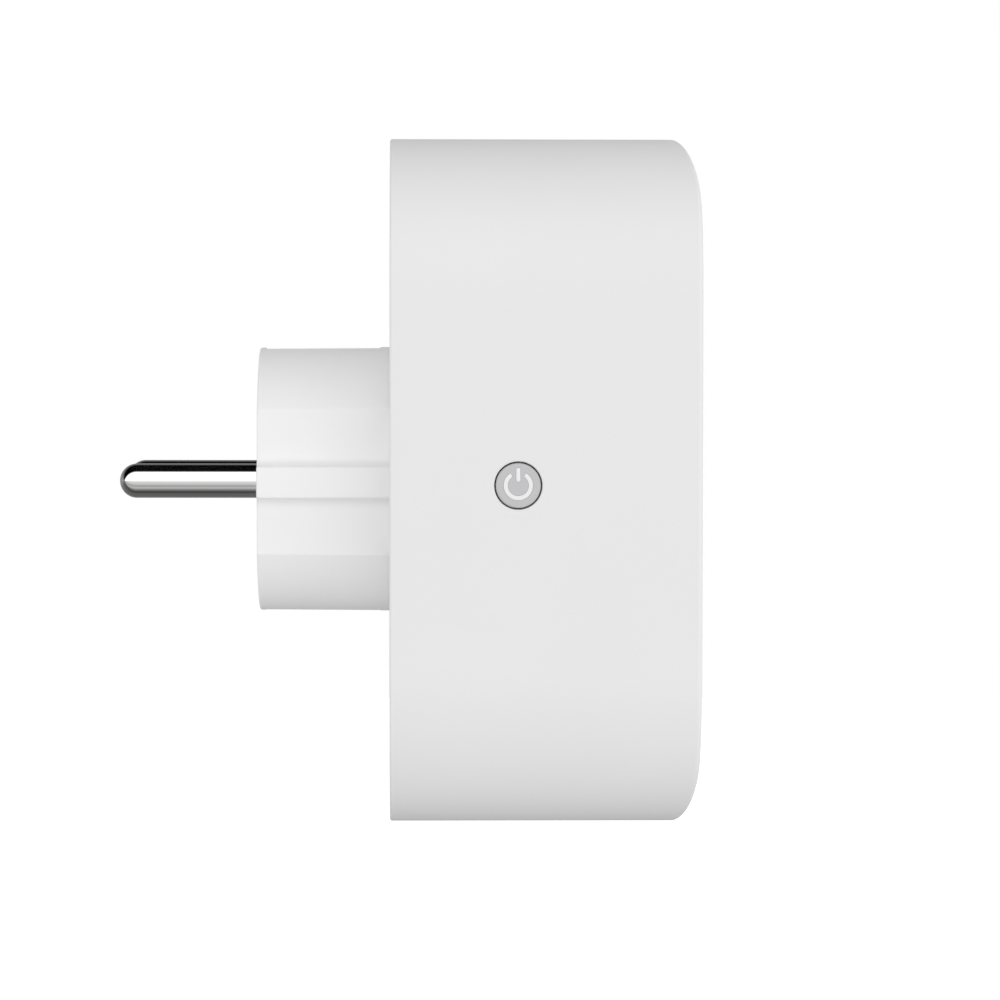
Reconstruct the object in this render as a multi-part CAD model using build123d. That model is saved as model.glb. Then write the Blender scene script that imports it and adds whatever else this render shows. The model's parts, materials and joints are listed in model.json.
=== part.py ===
from build123d import *
import os

# Smart plug for a round two-pin mains socket with earth, in millimetres.
# The origin is the centre of the plug's face, midway between the two pins.
# +X points out of the outlet, so the pins point along -X. +Z is up, and Y runs from pin to pin.

# ---- driving dimensions: the plug ----
PIN_R = 2.4                # round mains pins, 4.8 across
PIN_Y = 9.5                # half of the 19 between pin centres
PIN_NECK_R = 2.0           # where the plug's face holds the pin
PIN_SHANK_R = 2.0
PIN_COLLAR_R = 3.6
PIN_COLLAR_T = 2.0
PIN_LENGTH = 19.3
PLUG_LENGTH = 18.4
PLUG_FACE_R = 18.6         # the plug body is drafted: a little smaller at its face
PLUG_ROOT_R = 18.72
PLUG_WALL = 2.0
PLUG_FACE_T = 3.0
FLAT_Y = 15.7              # flats on both sides of the plug body
RIB_Y = 18.1               # raised guide rib on each flat
RIB_HALF = 2.2
RIB_ROOT_R = 1.5           # hollow where a rib meets its flat
EARTH_Z = 10.0             # female earth contact above the pin line
EARTH_HOLE_R = 2.5
PLUG_FLANGE_R = 21.2
PLUG_SCREW_AT = 16.1       # in Y and in Z
EARTH_TURN_X = 16.2        # where the plug's earth strips turn in to their bridge
STRIP_LOW_Z = 17.55
BUSBAR_X = 14.4            # end of the pin shanks

# ---- driving dimensions: the housing ----
WIDTH = 60.0
HEIGHT = 95.4
DEPTH = 42.4
CORNER_R = 21.6
WALL = 2.2
NOSE_DEPTH = 3.5           # the front rolls back over this depth at the top and the bottom
NOSE_RISE = 10.6
FRONT_EDGE_R = 0.7
REAR_EDGE_R = 0.35
REAR_T = 2.4               # rear cover, let into a rebate of the front cover
RIM_T = 1.6                # what is left of the wall beside the rear cover
SEAM = 0.15

# ---- driving dimensions: the outlet ----
RECESS_R = 19.75
RECESS_DEPTH = 17.5
DISH_WALL = 1.65
DISH_FLOOR = 2.0
HOLE_R = 2.75
GUIDE_HALF = 2.3
GUIDE_R = 18.4
CLIP_SLOT_HALF = 3.1
CLIP_WIDTH = 5.0
STRIP = 0.8                # sheet that the clips and busbars are stamped from
EARTH_BRIDGE_X = 34.9
CONTACT_FOOT_Z = 14.0

# ---- driving dimensions: the shutter ----
SHUTTER_TRAVEL = 6.2
SHUTTER_HALF = 13.0
SHUTTER_LOW = -3.2
SHUTTER_HIGH = 4.2
RUNNING = 0.05
SPRING_CLOSED = 3.6        # room left for the coil when the shutter is up
CARRIER_TOP_Z = SHUTTER_HIGH + SHUTTER_TRAVEL + SPRING_CLOSED
CARRIER_SCREW_Y = 14.8
CARRIER_SCREW_Z = 9.0
SPRING_X = 39.55
SPRING_R = 1.25
SPRING_WIRE_R = 0.22
SPRING_TURNS = 7

# ---- driving dimensions: the button ----
BUTTON_R = 3.05
BUTTON_GAP = 0.2
BUTTON_FROM_REAR = 17.4
BUTTON_FLANGE_R = 4.1      # keeps the button in its collar
STEM_R = 1.5

# ---- driving dimensions: boards and screws ----
BOARD_T = 1.6
SCREW_R = 1.45
SCREW_HEAD_R = 2.8
POST_R = 3.6
POST_Y = 12.0
POST_Z = 40.5

# ---- places along X, worked out from the above ----
REAR_X = PLUG_LENGTH
FRONT_X = REAR_X + DEPTH
INNER_FRONT_X = FRONT_X - WALL
LEDGE_X = REAR_X + REAR_T
FLOOR_X = FRONT_X - RECESS_DEPTH           # floor of the outlet recess
DISH_BACK_X = FLOOR_X - DISH_FLOOR
FLANGE_T = 1.6
BOARD_X = LEDGE_X + 3.6                    # rear face of the main board
BOARD_FRONT_X = BOARD_X + BOARD_T
CARRIER_GAP = 3.5                          # channel that the shutter slides in
CARRIER_T = 1.4
CARRIER_FRONT_X = DISH_BACK_X - CARRIER_GAP
CARRIER_BACK_X = CARRIER_FRONT_X - CARRIER_T
BUTTON_X = REAR_X + BUTTON_FROM_REAR
DISH_R = RECESS_R + DISH_WALL
DISH_FLANGE_R = DISH_R + 2.1
SIDE_Y = -WIDTH / 2                        # outer face of the wall that holds the button
SIDE_IN_Y = SIDE_Y + WALL
STEM_END_Y = SIDE_IN_Y + 2.45
SWITCH_FACE_Y = STEM_END_Y + 0.75
BUTTON_BOARD_Y = SWITCH_FACE_Y + 3.0
BOARD_INSET = WALL + 0.6
PARTS = {}

# ---- boxed components on the main board: height, y0, y1, z0, z1 and the size of their top edges ----
BOXED = {
    "relay": (15.8, -23, 6, 23.4, 36.1, 0.6),
    "film_capacitor": (11, -22, -4, -31.4, -24.6, 0.5),
    "rectifier": (2.4, 18, 24, -12, -7, 0.3),
    "meter_chip": (1.6, -3, 3, -20, -15, 0.2),
}


# ---- shared shapes ----
def slab(sketch, x0, x1):
    """A sketch in Y and Z, carried along X from x0 to x1."""
    return extrude(Plane.YZ.offset(x0) * sketch, x1 - x0)


def rod(y, z, r, x0, x1):
    """A round bar along X."""
    return slab(Pos(y, z) * Circle(r), x0, x1)


def brick(x0, x1, y0, y1, z0, z1):
    """A block given by its low and high side on each axis."""
    middle = Pos((x0 + x1) / 2, (y0 + y1) / 2, (z0 + z1) / 2)
    return middle * Box(x1 - x0, y1 - y0, z1 - z0)


def post(x, z, r, y0, y1):
    """A round bar along Y."""
    return Pos(x, (y0 + y1) / 2, z) * Rot(90, 0, 0) * Cylinder(r, abs(y1 - y0))


def strap(points, y, width, bend):
    """Sheet metal strip of constant width along Y, bent along points in X and Z."""
    path = FilletPolyline(*[(x, y, z) for x, z in points], radius=bend)
    start = Plane(origin=path @ 0, x_dir=(0, 1, 0), z_dir=path % 0)
    return sweep(start * Rectangle(width, STRIP), path=path)


def corners(y, z):
    """The four mirrored places of a point in Y and Z."""
    return [(sy * y, sz * z) for sy in (-1, 1) for sz in (-1, 1)]


def one(shape):
    """The single solid of a shape, or the shape itself when it has several."""
    solids = shape.solids()
    return solids[0] if len(solids) == 1 else Compound(children=list(solids))


# ---- housing ----
def outline(inset):
    """Rounded rectangle of the housing seen from the front, made smaller by inset."""
    return RectangleRounded(WIDTH - 2 * inset, HEIGHT - 2 * inset, CORNER_R - inset)


def side_profile(inset):
    """Housing seen from the side: square at the rear, rolled back at the front's top and bottom."""
    top = HEIGHT / 2 - inset
    front = FRONT_X - inset
    depth = NOSE_DEPTH - inset / 4
    rise = NOSE_RISE - inset
    back = REAR_X - 1
    low_arc = EllipticalCenterArc((front - depth, rise - top), depth, rise, 270, arc_size=90)
    high_arc = EllipticalCenterArc((front - depth, top - rise), depth, rise, 0, arc_size=90)
    lines = [
        Line((back, -top), (front - depth, -top)), low_arc,
        Line((front, rise - top), (front, top - rise)), high_arc,
        Line((front - depth, top), (back, top)), Line((back, top), (back, -top)),
    ]
    return extrude(Plane.XZ * make_face(lines), WIDTH, both=True)


def housing_outer():
    """Solid outer form of the housing, with its edges broken."""
    block = slab(outline(0), REAR_X, FRONT_X)
    block = fillet(block.faces().sort_by(Axis.X)[-1].edges(), FRONT_EDGE_R)
    block = fillet(block.faces().sort_by(Axis.X)[0].edges(), REAR_EDGE_R)
    return block & side_profile(0)


def front_cover():
    """Tall shell with the outlet's round opening, screw posts and the button's collar."""
    outer = housing_outer()
    hollow = slab(outline(WALL), LEDGE_X, INNER_FRONT_X) & side_profile(WALL)
    shell = outer - hollow - slab(outline(RIM_T), REAR_X - 1, LEDGE_X)
    for y, z in corners(POST_Y, POST_Z):
        shell += rod(y, z, POST_R, BOARD_FRONT_X, FRONT_X) & outer
    shell += post(BUTTON_X, 0, BUTTON_FLANGE_R + 1.35, SIDE_Y + 1, SIDE_IN_Y + 2.6)
    shell -= post(BUTTON_X, 0, BUTTON_R + BUTTON_GAP, SIDE_Y - 1, SIDE_IN_Y)
    shell -= post(BUTTON_X, 0, BUTTON_FLANGE_R + RUNNING, SIDE_IN_Y, SIDE_IN_Y + 3)
    shell -= rod(0, 0, DISH_R + SEAM, INNER_FRONT_X - 1, FRONT_X + 1)
    for y, z in corners(POST_Y, POST_Z):
        shell -= rod(y, z, SCREW_R, BOARD_FRONT_X - 1, BOARD_FRONT_X + 14)
    return shell


def rear_cover():
    """Flat cover with bosses that clamp the main board, and the hole for the plug body."""
    cover = slab(outline(RIM_T + SEAM), REAR_X, LEDGE_X)
    cover = chamfer(cover.faces().sort_by(Axis.X)[0].edges(), 0.25)
    for y, z in corners(POST_Y, POST_Z):
        cover += rod(y, z, POST_R + 0.3, LEDGE_X, BOARD_X)
    cover -= rod(0, 0, PLUG_ROOT_R + SEAM, REAR_X - 1, LEDGE_X + 1)
    for y, z in corners(POST_Y, POST_Z):
        cover -= rod(y, z, SCREW_HEAD_R + 0.2, REAR_X - 1, REAR_X + 2.8)
        cover -= rod(y, z, SCREW_R + 0.15, REAR_X, BOARD_X + 1)
    for y, z in corners(PLUG_SCREW_AT, PLUG_SCREW_AT):
        cover -= rod(y, z, 1.1, REAR_X + 0.8, LEDGE_X + 1)
    return cover


def case_screws():
    """Four cap screws from the rear, through the board, into the front cover's posts."""
    head_x = REAR_X + 0.8
    seat_x = REAR_X + 2.8
    screws = []
    for y, z in corners(POST_Y, POST_Z):
        screw = rod(y, z, SCREW_HEAD_R, head_x, seat_x) + rod(y, z, SCREW_R, seat_x, BOARD_FRONT_X + 12)
        drive = slab(Pos(y, z) * RegularPolygon(1.5, 6), head_x - 1, head_x + 1.2)
        screws.append(screw - drive)
    return Compound(children=screws)


# ---- plug ----
def plug_body():
    """Drafted round body with side flats, guide ribs, earth strip grooves and an inner flange."""
    body = Pos(PLUG_LENGTH / 2, 0, 0) * Rot(0, 90, 0) * Cone(PLUG_FACE_R, PLUG_ROOT_R, PLUG_LENGTH)
    body = fillet(body.faces().sort_by(Axis.X)[0].edges(), 0.5)
    ribs = brick(0, PLUG_LENGTH, -RIB_Y, RIB_Y, -RIB_HALF, RIB_HALF)
    for side in (-1, 1):
        reach = side * (PLUG_ROOT_R + 1)
        y0, y1 = sorted((side * FLAT_Y, reach))
        body -= brick(-1, PLUG_LENGTH, y0, y1, -PLUG_ROOT_R, PLUG_ROOT_R)
    body += ribs
    roots = [edge for edge in body.edges().filter_by(Axis.X)
             if abs(abs(edge.center().Y) - FLAT_Y) < 0.01 and abs(abs(edge.center().Z) - RIB_HALF) < 0.01]
    body = fillet(roots, RIB_ROOT_R)
    body += rod(0, 0, PLUG_ROOT_R, PLUG_LENGTH, LEDGE_X)
    body += rod(0, 0, PLUG_FLANGE_R, LEDGE_X, LEDGE_X + FLANGE_T)
    for y, z in corners(PLUG_SCREW_AT, PLUG_SCREW_AT):
        body += rod(y, z, 3.0, LEDGE_X, LEDGE_X + FLANGE_T)
        body -= rod(y, z, 1.2, LEDGE_X - 1, LEDGE_X + FLANGE_T + 1)
    inner = rod(0, 0, PLUG_FACE_R - PLUG_WALL - 1.0, PLUG_FACE_T, LEDGE_X + FLANGE_T + 1)
    inner &= brick(0, 40, PLUG_WALL - FLAT_Y, FLAT_Y - PLUG_WALL, -20, 20)
    body -= inner
    for side in (-1, 1):
        body -= rod(side * PIN_Y, 0, PIN_NECK_R, -1, PLUG_FACE_T + 1)
        z0, z1 = sorted((side * STRIP_LOW_Z, side * (PLUG_ROOT_R + 1)))
        body -= brick(0.8, EARTH_TURN_X + STRIP, -CLIP_WIDTH / 2, CLIP_WIDTH / 2, z0, z1)
        z0, z1 = sorted((side * 12, side * STRIP_LOW_Z))
        body -= brick(EARTH_TURN_X, EARTH_TURN_X + STRIP, -CLIP_WIDTH / 2, CLIP_WIDTH / 2, z0, z1)
    body -= rod(0, EARTH_Z, EARTH_HOLE_R + 0.1, -1, PLUG_FACE_T + 1)
    return body


def pin(side):
    """Solid round pin with a ball end, a collar behind the plug's face and a thinner shank."""
    y = side * PIN_Y
    collar_end = PLUG_FACE_T + PIN_COLLAR_T
    shaft = rod(y, 0, PIN_R, PIN_R - PIN_LENGTH, 0)
    tip = Pos(PIN_R - PIN_LENGTH, y, 0) * Sphere(PIN_R)
    neck = rod(y, 0, PIN_NECK_R, 0, PLUG_FACE_T)
    collar = rod(y, 0, PIN_COLLAR_R, PLUG_FACE_T, collar_end)
    return shaft + tip + neck + collar + rod(y, 0, PIN_SHANK_R, collar_end, BUSBAR_X)


def plug_earth_clip():
    """Earth strip of the plug: an arm in the top groove, one in the bottom, and a bridge between."""
    half = CLIP_WIDTH / 2
    clip = brick(EARTH_TURN_X, EARTH_TURN_X + STRIP, -half, half, -STRIP_LOW_Z - STRIP, STRIP_LOW_Z + STRIP)
    for side in (-1, 1):
        z0, z1 = sorted((side * STRIP_LOW_Z, side * (STRIP_LOW_Z + STRIP)))
        clip += brick(0.8, EARTH_TURN_X + STRIP, -half, half, z0, z1)
    return clip


def earth_sleeve():
    """Female earth contact behind the hole in the plug's face, slit along its length."""
    sleeve = rod(0, EARTH_Z, EARTH_HOLE_R + STRIP, PLUG_FACE_T, EARTH_TURN_X)
    sleeve -= rod(0, EARTH_Z, EARTH_HOLE_R, PLUG_FACE_T - 1, EARTH_TURN_X - 1)
    return sleeve - brick(PLUG_FACE_T - 1, 12, -0.5, 0.5, EARTH_Z, EARTH_Z + 5)


def busbar(side):
    """Strap from the end of a pin's shank, round to the rear face of the main board."""
    y = side * PIN_Y
    mid = STRIP / 2
    points = [(BUSBAR_X + mid, -2.4), (BUSBAR_X + mid, 9.0), (BOARD_X - mid, 9.0), (BOARD_X - mid, 16.0)]
    return strap(points, y, 4.0, 1.2)


def plug_screws():
    """Four short screws that hold the plug body's flange to the rear cover."""
    seat_x = LEDGE_X + FLANGE_T
    screws = []
    for y, z in corners(PLUG_SCREW_AT, PLUG_SCREW_AT):
        screw = rod(y, z, 2.0, seat_x, seat_x + 1.4) + rod(y, z, 1.1, REAR_X + 1.2, seat_x)
        slot = brick(seat_x + 0.8, seat_x + 2, y - 1.2, y + 1.2, z - 0.25, z + 0.25)
        screws.append(screw - slot)
    return Compound(children=screws)


# ---- outlet ----
def outlet_dish():
    """Round recess for a plug, with pin holes, guide ribs and slots for the earth clips."""
    dish = rod(0, 0, DISH_R, DISH_BACK_X, FRONT_X)
    dish += rod(0, 0, DISH_FLANGE_R, INNER_FRONT_X - 1.4, INNER_FRONT_X)
    dish -= rod(0, 0, RECESS_R, FLOOR_X, FRONT_X + 1)
    mouth = dish.faces().sort_by(Axis.X)[-1].edges().sort_by(SortBy.RADIUS)[0]
    dish = fillet(mouth, 0.9)
    for side in (-1, 1):
        y0, y1 = sorted((side * GUIDE_R, side * (RECESS_R + 0.8)))
        guide = brick(FLOOR_X - 0.5, FRONT_X - 3.0, y0, y1, -GUIDE_HALF, GUIDE_HALF)
        tip = guide.faces().sort_by(Axis.X)[-1].edges().sort_by(Axis.Y)[0 if side > 0 else -1]
        dish += chamfer(tip, 1.2)
        dish -= rod(side * PIN_Y, 0, HOLE_R, DISH_BACK_X - 1, FLOOR_X + 1)
        lead_in = Pos(FLOOR_X - 0.25, side * PIN_Y, 0) * Rot(0, 90, 0) * Cone(HOLE_R, HOLE_R + 0.5, 0.5)
        dish -= lead_in
        z0, z1 = sorted((side * 17.0, side * (DISH_R + 3)))
        dish -= brick(DISH_BACK_X - 1, FRONT_X - 2.4, -CLIP_SLOT_HALF, CLIP_SLOT_HALF, z0, z1)
    for side in (-1, 1):
        dish -= rod(side * CARRIER_SCREW_Y, CARRIER_SCREW_Z, 0.9, DISH_BACK_X - 1, FLOOR_X - 0.5)
    return dish


def outlet_earth_clip():
    """Sprung U of strip: a bridge behind the recess and an arm with a contact bump at each end."""
    reach = DISH_R - 0.9
    x0 = EARTH_BRIDGE_X
    arms = None
    for side in (-1, 1):
        points = [
            (x0, 0), (x0, side * reach), (FLOOR_X + 0.8, side * reach),
            (FLOOR_X + 9.0, side * 18.0), (FLOOR_X + 13.4, side * 20.2),
        ]
        arm = strap(points, 0, CLIP_WIDTH, 1.6)
        arms = arm if arms is None else arms + arm
    return arms


def earth_link():
    """Strap that joins the plug's earth bridge to the outlet's."""
    x0 = EARTH_TURN_X + STRIP + STRIP / 2
    x1 = EARTH_BRIDGE_X - STRIP
    return strap([(x0, -7.6), (x0, -3.6), (x1, -3.6), (x1, -7.6)], 0, 4.0, 1.2)


def contact(side):
    """Split tube that grips a plug's pin, with a foot on the main board."""
    y = side * PIN_Y
    outer_r = PIN_R + STRIP
    back = BOARD_FRONT_X
    front = CARRIER_BACK_X - 0.3
    tube = rod(y, 0, outer_r, back, front)
    tube += brick(back, back + STRIP, y - 2, y + 2, 2.6, CONTACT_FOOT_Z)
    tube -= rod(y, 0, PIN_R + RUNNING, back - 1, front + 1)
    tube -= brick(back + 2, front + 1, y - 5, y + 5, -0.5, 0.5)
    flare = Pos(front - 0.25, y, 0) * Rot(0, 90, 0) * Cone(PIN_R + RUNNING, PIN_R + 0.5, 0.5)
    return tube - flare


def contact_rings():
    """Open steel rings that keep the contact tubes closed on the pins."""
    rings = []
    for side in (-1, 1):
        y = side * PIN_Y
        ring = rod(y, 0, PIN_R + 2 * STRIP, 31.2, 33.4) - rod(y, 0, PIN_R + STRIP, 31, 34)
        rings.append(ring - brick(31, 34, y - 1, y + 1, -5, -2))
    return Compound(children=rings)


# ---- shutter ----
def shutter():
    """Sliding gate with a sloped face that a pair of pins pushes up and out of the way."""
    back = CARRIER_FRONT_X + 0.4
    front = DISH_BACK_X - 0.1
    points = [(back, SHUTTER_LOW), (back + 0.4, SHUTTER_LOW), (front, SHUTTER_HIGH - 1.2),
              (front, SHUTTER_HIGH), (back, SHUTTER_HIGH)]
    gate = extrude(Plane.XZ * make_face(Polyline(*points, close=True)), SHUTTER_HALF, both=True)
    gate -= brick(back - 1, front + 1, -4.2, 4.2, SHUTTER_LOW - 1, -1.2)
    peg = Pos(SPRING_X, 0, SHUTTER_HIGH + 0.6) * Cylinder(SPRING_R - 0.6, 1.2)
    return gate + peg


def shutter_spring():
    """Compression coil between the shutter and the top of its carrier."""
    low = SHUTTER_HIGH + SPRING_WIRE_R + 0.03
    length = CARRIER_TOP_Z - SPRING_WIRE_R - 0.03 - low
    coil = Helix(length / SPRING_TURNS, length, SPRING_R, center=(SPRING_X, 0, low))
    wire = Plane(origin=coil @ 0, z_dir=coil % 0) * Circle(SPRING_WIRE_R)
    return sweep(wire, path=coil, is_frenet=True)


def shutter_carrier():
    """Tray on the back of the recess that the shutter slides in."""
    inner = SHUTTER_HALF + RUNNING
    low = SHUTTER_LOW - 1.5
    tray = brick(CARRIER_BACK_X, DISH_BACK_X, -inner - 3.4, inner + 3.4, low, CARRIER_TOP_Z + 1.5)
    tray -= brick(CARRIER_FRONT_X, DISH_BACK_X + 1, -inner, inner, SHUTTER_LOW - 0.02, CARRIER_TOP_Z)
    for side in (-1, 1):
        tray -= rod(side * PIN_Y, 0, HOLE_R, CARRIER_BACK_X - 1, CARRIER_FRONT_X + 1)
        tray -= rod(side * CARRIER_SCREW_Y, CARRIER_SCREW_Z, 1.0, CARRIER_BACK_X - 1, DISH_BACK_X + 1)
    return tray


def carrier_screws():
    """Two small screws that hold the shutter's carrier to the recess."""
    screws = []
    for side in (-1, 1):
        y = side * CARRIER_SCREW_Y
        z = CARRIER_SCREW_Z
        head = rod(y, z, 1.6, CARRIER_BACK_X - 1.2, CARRIER_BACK_X)
        head -= brick(CARRIER_BACK_X - 2, CARRIER_BACK_X - 0.7, y - 1, y + 1, z - 0.2, z + 0.2)
        screws.append(head + rod(y, z, 0.9, CARRIER_BACK_X, FLOOR_X - 0.8))
    return Compound(children=screws)


# ---- button and its switch ----
def button_cap():
    """Round side button, with a flange that keeps it in the collar and a stem to the switch."""
    cap = post(BUTTON_X, 0, BUTTON_R, SIDE_Y, SIDE_IN_Y + 0.1)
    cap = fillet(cap.faces().sort_by(Axis.Y)[0].edges(), 0.25)
    cap += post(BUTTON_X, 0, BUTTON_FLANGE_R, SIDE_IN_Y + 0.03, SIDE_IN_Y + 1.0)
    cap += post(BUTTON_X, 0, STEM_R, SIDE_IN_Y + 1.0, STEM_END_Y)
    return cap - button_symbol()


def button_symbol():
    """Light window in the button: an open ring with a bar, the usual on and off sign."""
    face = Plane(origin=(BUTTON_X, SIDE_Y, 0), x_dir=(1, 0, 0), z_dir=(0, 1, 0))
    ring = Circle(2.0) - Circle(1.4) - Pos(0, -1.7) * Rectangle(1.8, 1.8)
    bar = Pos(0, -1.45) * Rectangle(0.6, 1.9)
    return extrude(face * (ring + bar), 0.5)


def switch_body():
    """Square push switch on the button board, with a round well for its plunger."""
    body = brick(BUTTON_X - 3, BUTTON_X + 3, SWITCH_FACE_Y, BUTTON_BOARD_Y, -3, 3)
    return body - post(BUTTON_X, 0, 1.75, SWITCH_FACE_Y - 1, BUTTON_BOARD_Y - 0.4)


def switch_plunger():
    """Plunger of the switch, just behind the button's stem."""
    plunger = post(BUTTON_X, 0, 1.7, STEM_END_Y + 0.03, BUTTON_BOARD_Y - 1.0)
    return chamfer(plunger.faces().sort_by(Axis.Y)[0].edges(), 0.2)


def button_board():
    """Small board that stands on the main board and carries the switch and its lights."""
    board = brick(BOARD_FRONT_X, DISH_BACK_X - 0.5, BUTTON_BOARD_Y, BUTTON_BOARD_Y + 1.2, -8, 8)
    return board - post(BOARD_FRONT_X + 2.5, 6, 0.8, BUTTON_BOARD_Y - 1, BUTTON_BOARD_Y + 2)


def status_leds():
    """Two lights beside the switch that shine through the button's window."""
    y0 = BUTTON_BOARD_Y - 0.9
    return Compound(children=[
        brick(BUTTON_X - 0.8, BUTTON_X + 0.8, y0, BUTTON_BOARD_Y, side * 4.6 - 0.6, side * 4.6 + 0.6)
        for side in (-1, 1)])


def board_header():
    """Row of square pins that join the button board to the main board."""
    y0 = BUTTON_BOARD_Y + 1.2
    pins = []
    for step in range(-2, 3):
        z = step * 2.0
        pins.append(brick(BOARD_FRONT_X, BOARD_FRONT_X + 3.0, y0, y0 + 0.6, z - 0.3, z + 0.3))
    return Compound(children=pins)


# ---- main board and what is on it ----
def main_board():
    """Board as tall as the housing, with a window for the contacts and holes for the screws."""
    board = slab(outline(BOARD_INSET), BOARD_X, BOARD_FRONT_X)
    board -= slab(RectangleRounded(29, 16, 2), BOARD_X - 1, BOARD_FRONT_X + 1)
    for y, z in corners(POST_Y, POST_Z):
        board -= rod(y, z, SCREW_R + 0.15, BOARD_X - 1, BOARD_FRONT_X + 1)
    return board


def on_board(height, y0, y1, z0, z1, edge):
    """Boxed component standing on the main board, with its top edges eased."""
    block = brick(BOARD_FRONT_X, BOARD_FRONT_X + height, y0, y1, z0, z1)
    return chamfer(block.faces().sort_by(Axis.X)[-1].edges(), edge)


def can(y, z, r, height):
    """Round component standing on the main board, with a groove near its foot."""
    body = rod(y, z, r, BOARD_FRONT_X, BOARD_FRONT_X + height)
    body = chamfer(body.faces().sort_by(Axis.X)[-1].edges(), 0.3)
    groove = rod(y, z, r + 1, BOARD_FRONT_X + 1.2, BOARD_FRONT_X + 1.9) - rod(y, z, r - 0.3, 0, 60)
    return body - groove


def power_transformer():
    """Wound former between the two halves of a ferrite core."""
    core = on_board(13, 9, 22, 24.0, 36.0, 0.4)
    core -= brick(BOARD_FRONT_X + 2, BOARD_FRONT_X + 10, 0, 40, 26.0, 34.0)
    return core + brick(BOARD_FRONT_X + 2.4, BOARD_FRONT_X + 9.6, 10, 21, 25.0, 35.0)


def varistor():
    """Coated disc on edge that clamps surges."""
    disc = Pos(BOARD_FRONT_X + 6.2, 1.4, -28) * Cylinder(5.0, 4.0)
    disc = fillet(disc.edges(), 1.2)
    legs = brick(BOARD_FRONT_X, BOARD_FRONT_X + 4, -2.0, -1.2, -28.4, -27.6)
    return disc + legs + Pos(0, 6, 0) * legs


def radio_board():
    """Thin board of the radio module."""
    return brick(BOARD_FRONT_X, BOARD_FRONT_X + 0.8, 7, 24, -35, -25)


def radio_shield():
    """Pressed can over the radio's chips."""
    x0 = BOARD_FRONT_X + 0.8
    shield = brick(x0, x0 + 2.2, 7.5, 18, -34.5, -25.5)
    shield = fillet(shield.faces().sort_by(Axis.X)[-1].edges(), 0.5)
    return shield - brick(x0 - 1, x0 + 1.9, 7.8, 17.7, -34.2, -25.8)


def radio_antenna():
    """Stamped antenna, folded up from the end of the radio board."""
    x0 = BOARD_FRONT_X + 0.8
    mast = brick(x0, x0 + 5, 22.4, 22.8, -34.6, -25.4)
    return mast - brick(x0 + 1.2, x0 + 3.8, 22, 24, -35, -27)


def line_choke():
    """Drum choke: a winding between two flanges."""
    x0 = BOARD_FRONT_X
    drum = rod(0, -38.8, 5.0, x0, x0 + 1.5) + rod(0, -38.8, 5.0, x0 + 8.5, x0 + 10)
    return drum + rod(0, -38.8, 4.3, x0 + 1.5, x0 + 8.5)


PARTS["front_cover"] = front_cover()
PARTS["rear_cover"] = rear_cover()
PARTS["case_screws"] = case_screws()
PARTS["plug_body"] = plug_body()
PARTS["pin_live"] = pin(-1)
PARTS["pin_neutral"] = pin(1)
PARTS["plug_earth_clip"] = plug_earth_clip()
PARTS["earth_sleeve"] = earth_sleeve()
PARTS["busbar_live"] = busbar(-1)
PARTS["busbar_neutral"] = busbar(1)
PARTS["plug_screws"] = plug_screws()
PARTS["outlet_dish"] = outlet_dish()
PARTS["outlet_earth_clip"] = outlet_earth_clip()
PARTS["earth_link"] = earth_link()
PARTS["contact_live"] = contact(-1)
PARTS["contact_neutral"] = contact(1)
PARTS["contact_rings"] = contact_rings()
PARTS["shutter"] = shutter()
PARTS["shutter_spring"] = shutter_spring()
PARTS["shutter_carrier"] = shutter_carrier()
PARTS["carrier_screws"] = carrier_screws()
PARTS["button_cap"] = button_cap()
PARTS["button_symbol"] = button_symbol()
PARTS["switch_body"] = switch_body()
PARTS["switch_plunger"] = switch_plunger()
PARTS["button_board"] = button_board()
PARTS["status_leds"] = status_leds()
PARTS["board_header"] = board_header()
PARTS["main_board"] = main_board()
for name, (height, y0, y1, z0, z1, edge) in BOXED.items():
    PARTS[name] = on_board(height, y0, y1, z0, z1, edge)
PARTS["power_transformer"] = power_transformer()
PARTS["bulk_capacitors"] = Compound(children=[can(-4.2, 41.3, 3.15, 12), can(4.2, 41.3, 3.15, 12)])
PARTS["mains_fuse"] = can(-19.5, -15.5, 3.0, 9)
PARTS["varistor"] = varistor()
PARTS["line_choke"] = line_choke()
PARTS["radio_board"] = radio_board()
PARTS["radio_shield"] = radio_shield()
PARTS["radio_antenna"] = radio_antenna()

os.makedirs("parts", exist_ok=True)
for node, shape in PARTS.items():
    piece = one(shape)
    piece.label = node
    export_step(piece, f"parts/{node}.step")
    print(node, len(piece.solids()), round(piece.volume, 2))
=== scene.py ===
"""Looks of a smart plug: turned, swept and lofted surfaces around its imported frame, with moulded,
plated and printed finishes, a plain studio and a camera square to the side that holds the button."""
import json
import math

import bmesh
import bpy
import numpy as np
from bpy.props import FloatProperty, FloatVectorProperty, IntProperty, PointerProperty
from mathutils import Matrix, Vector


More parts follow.
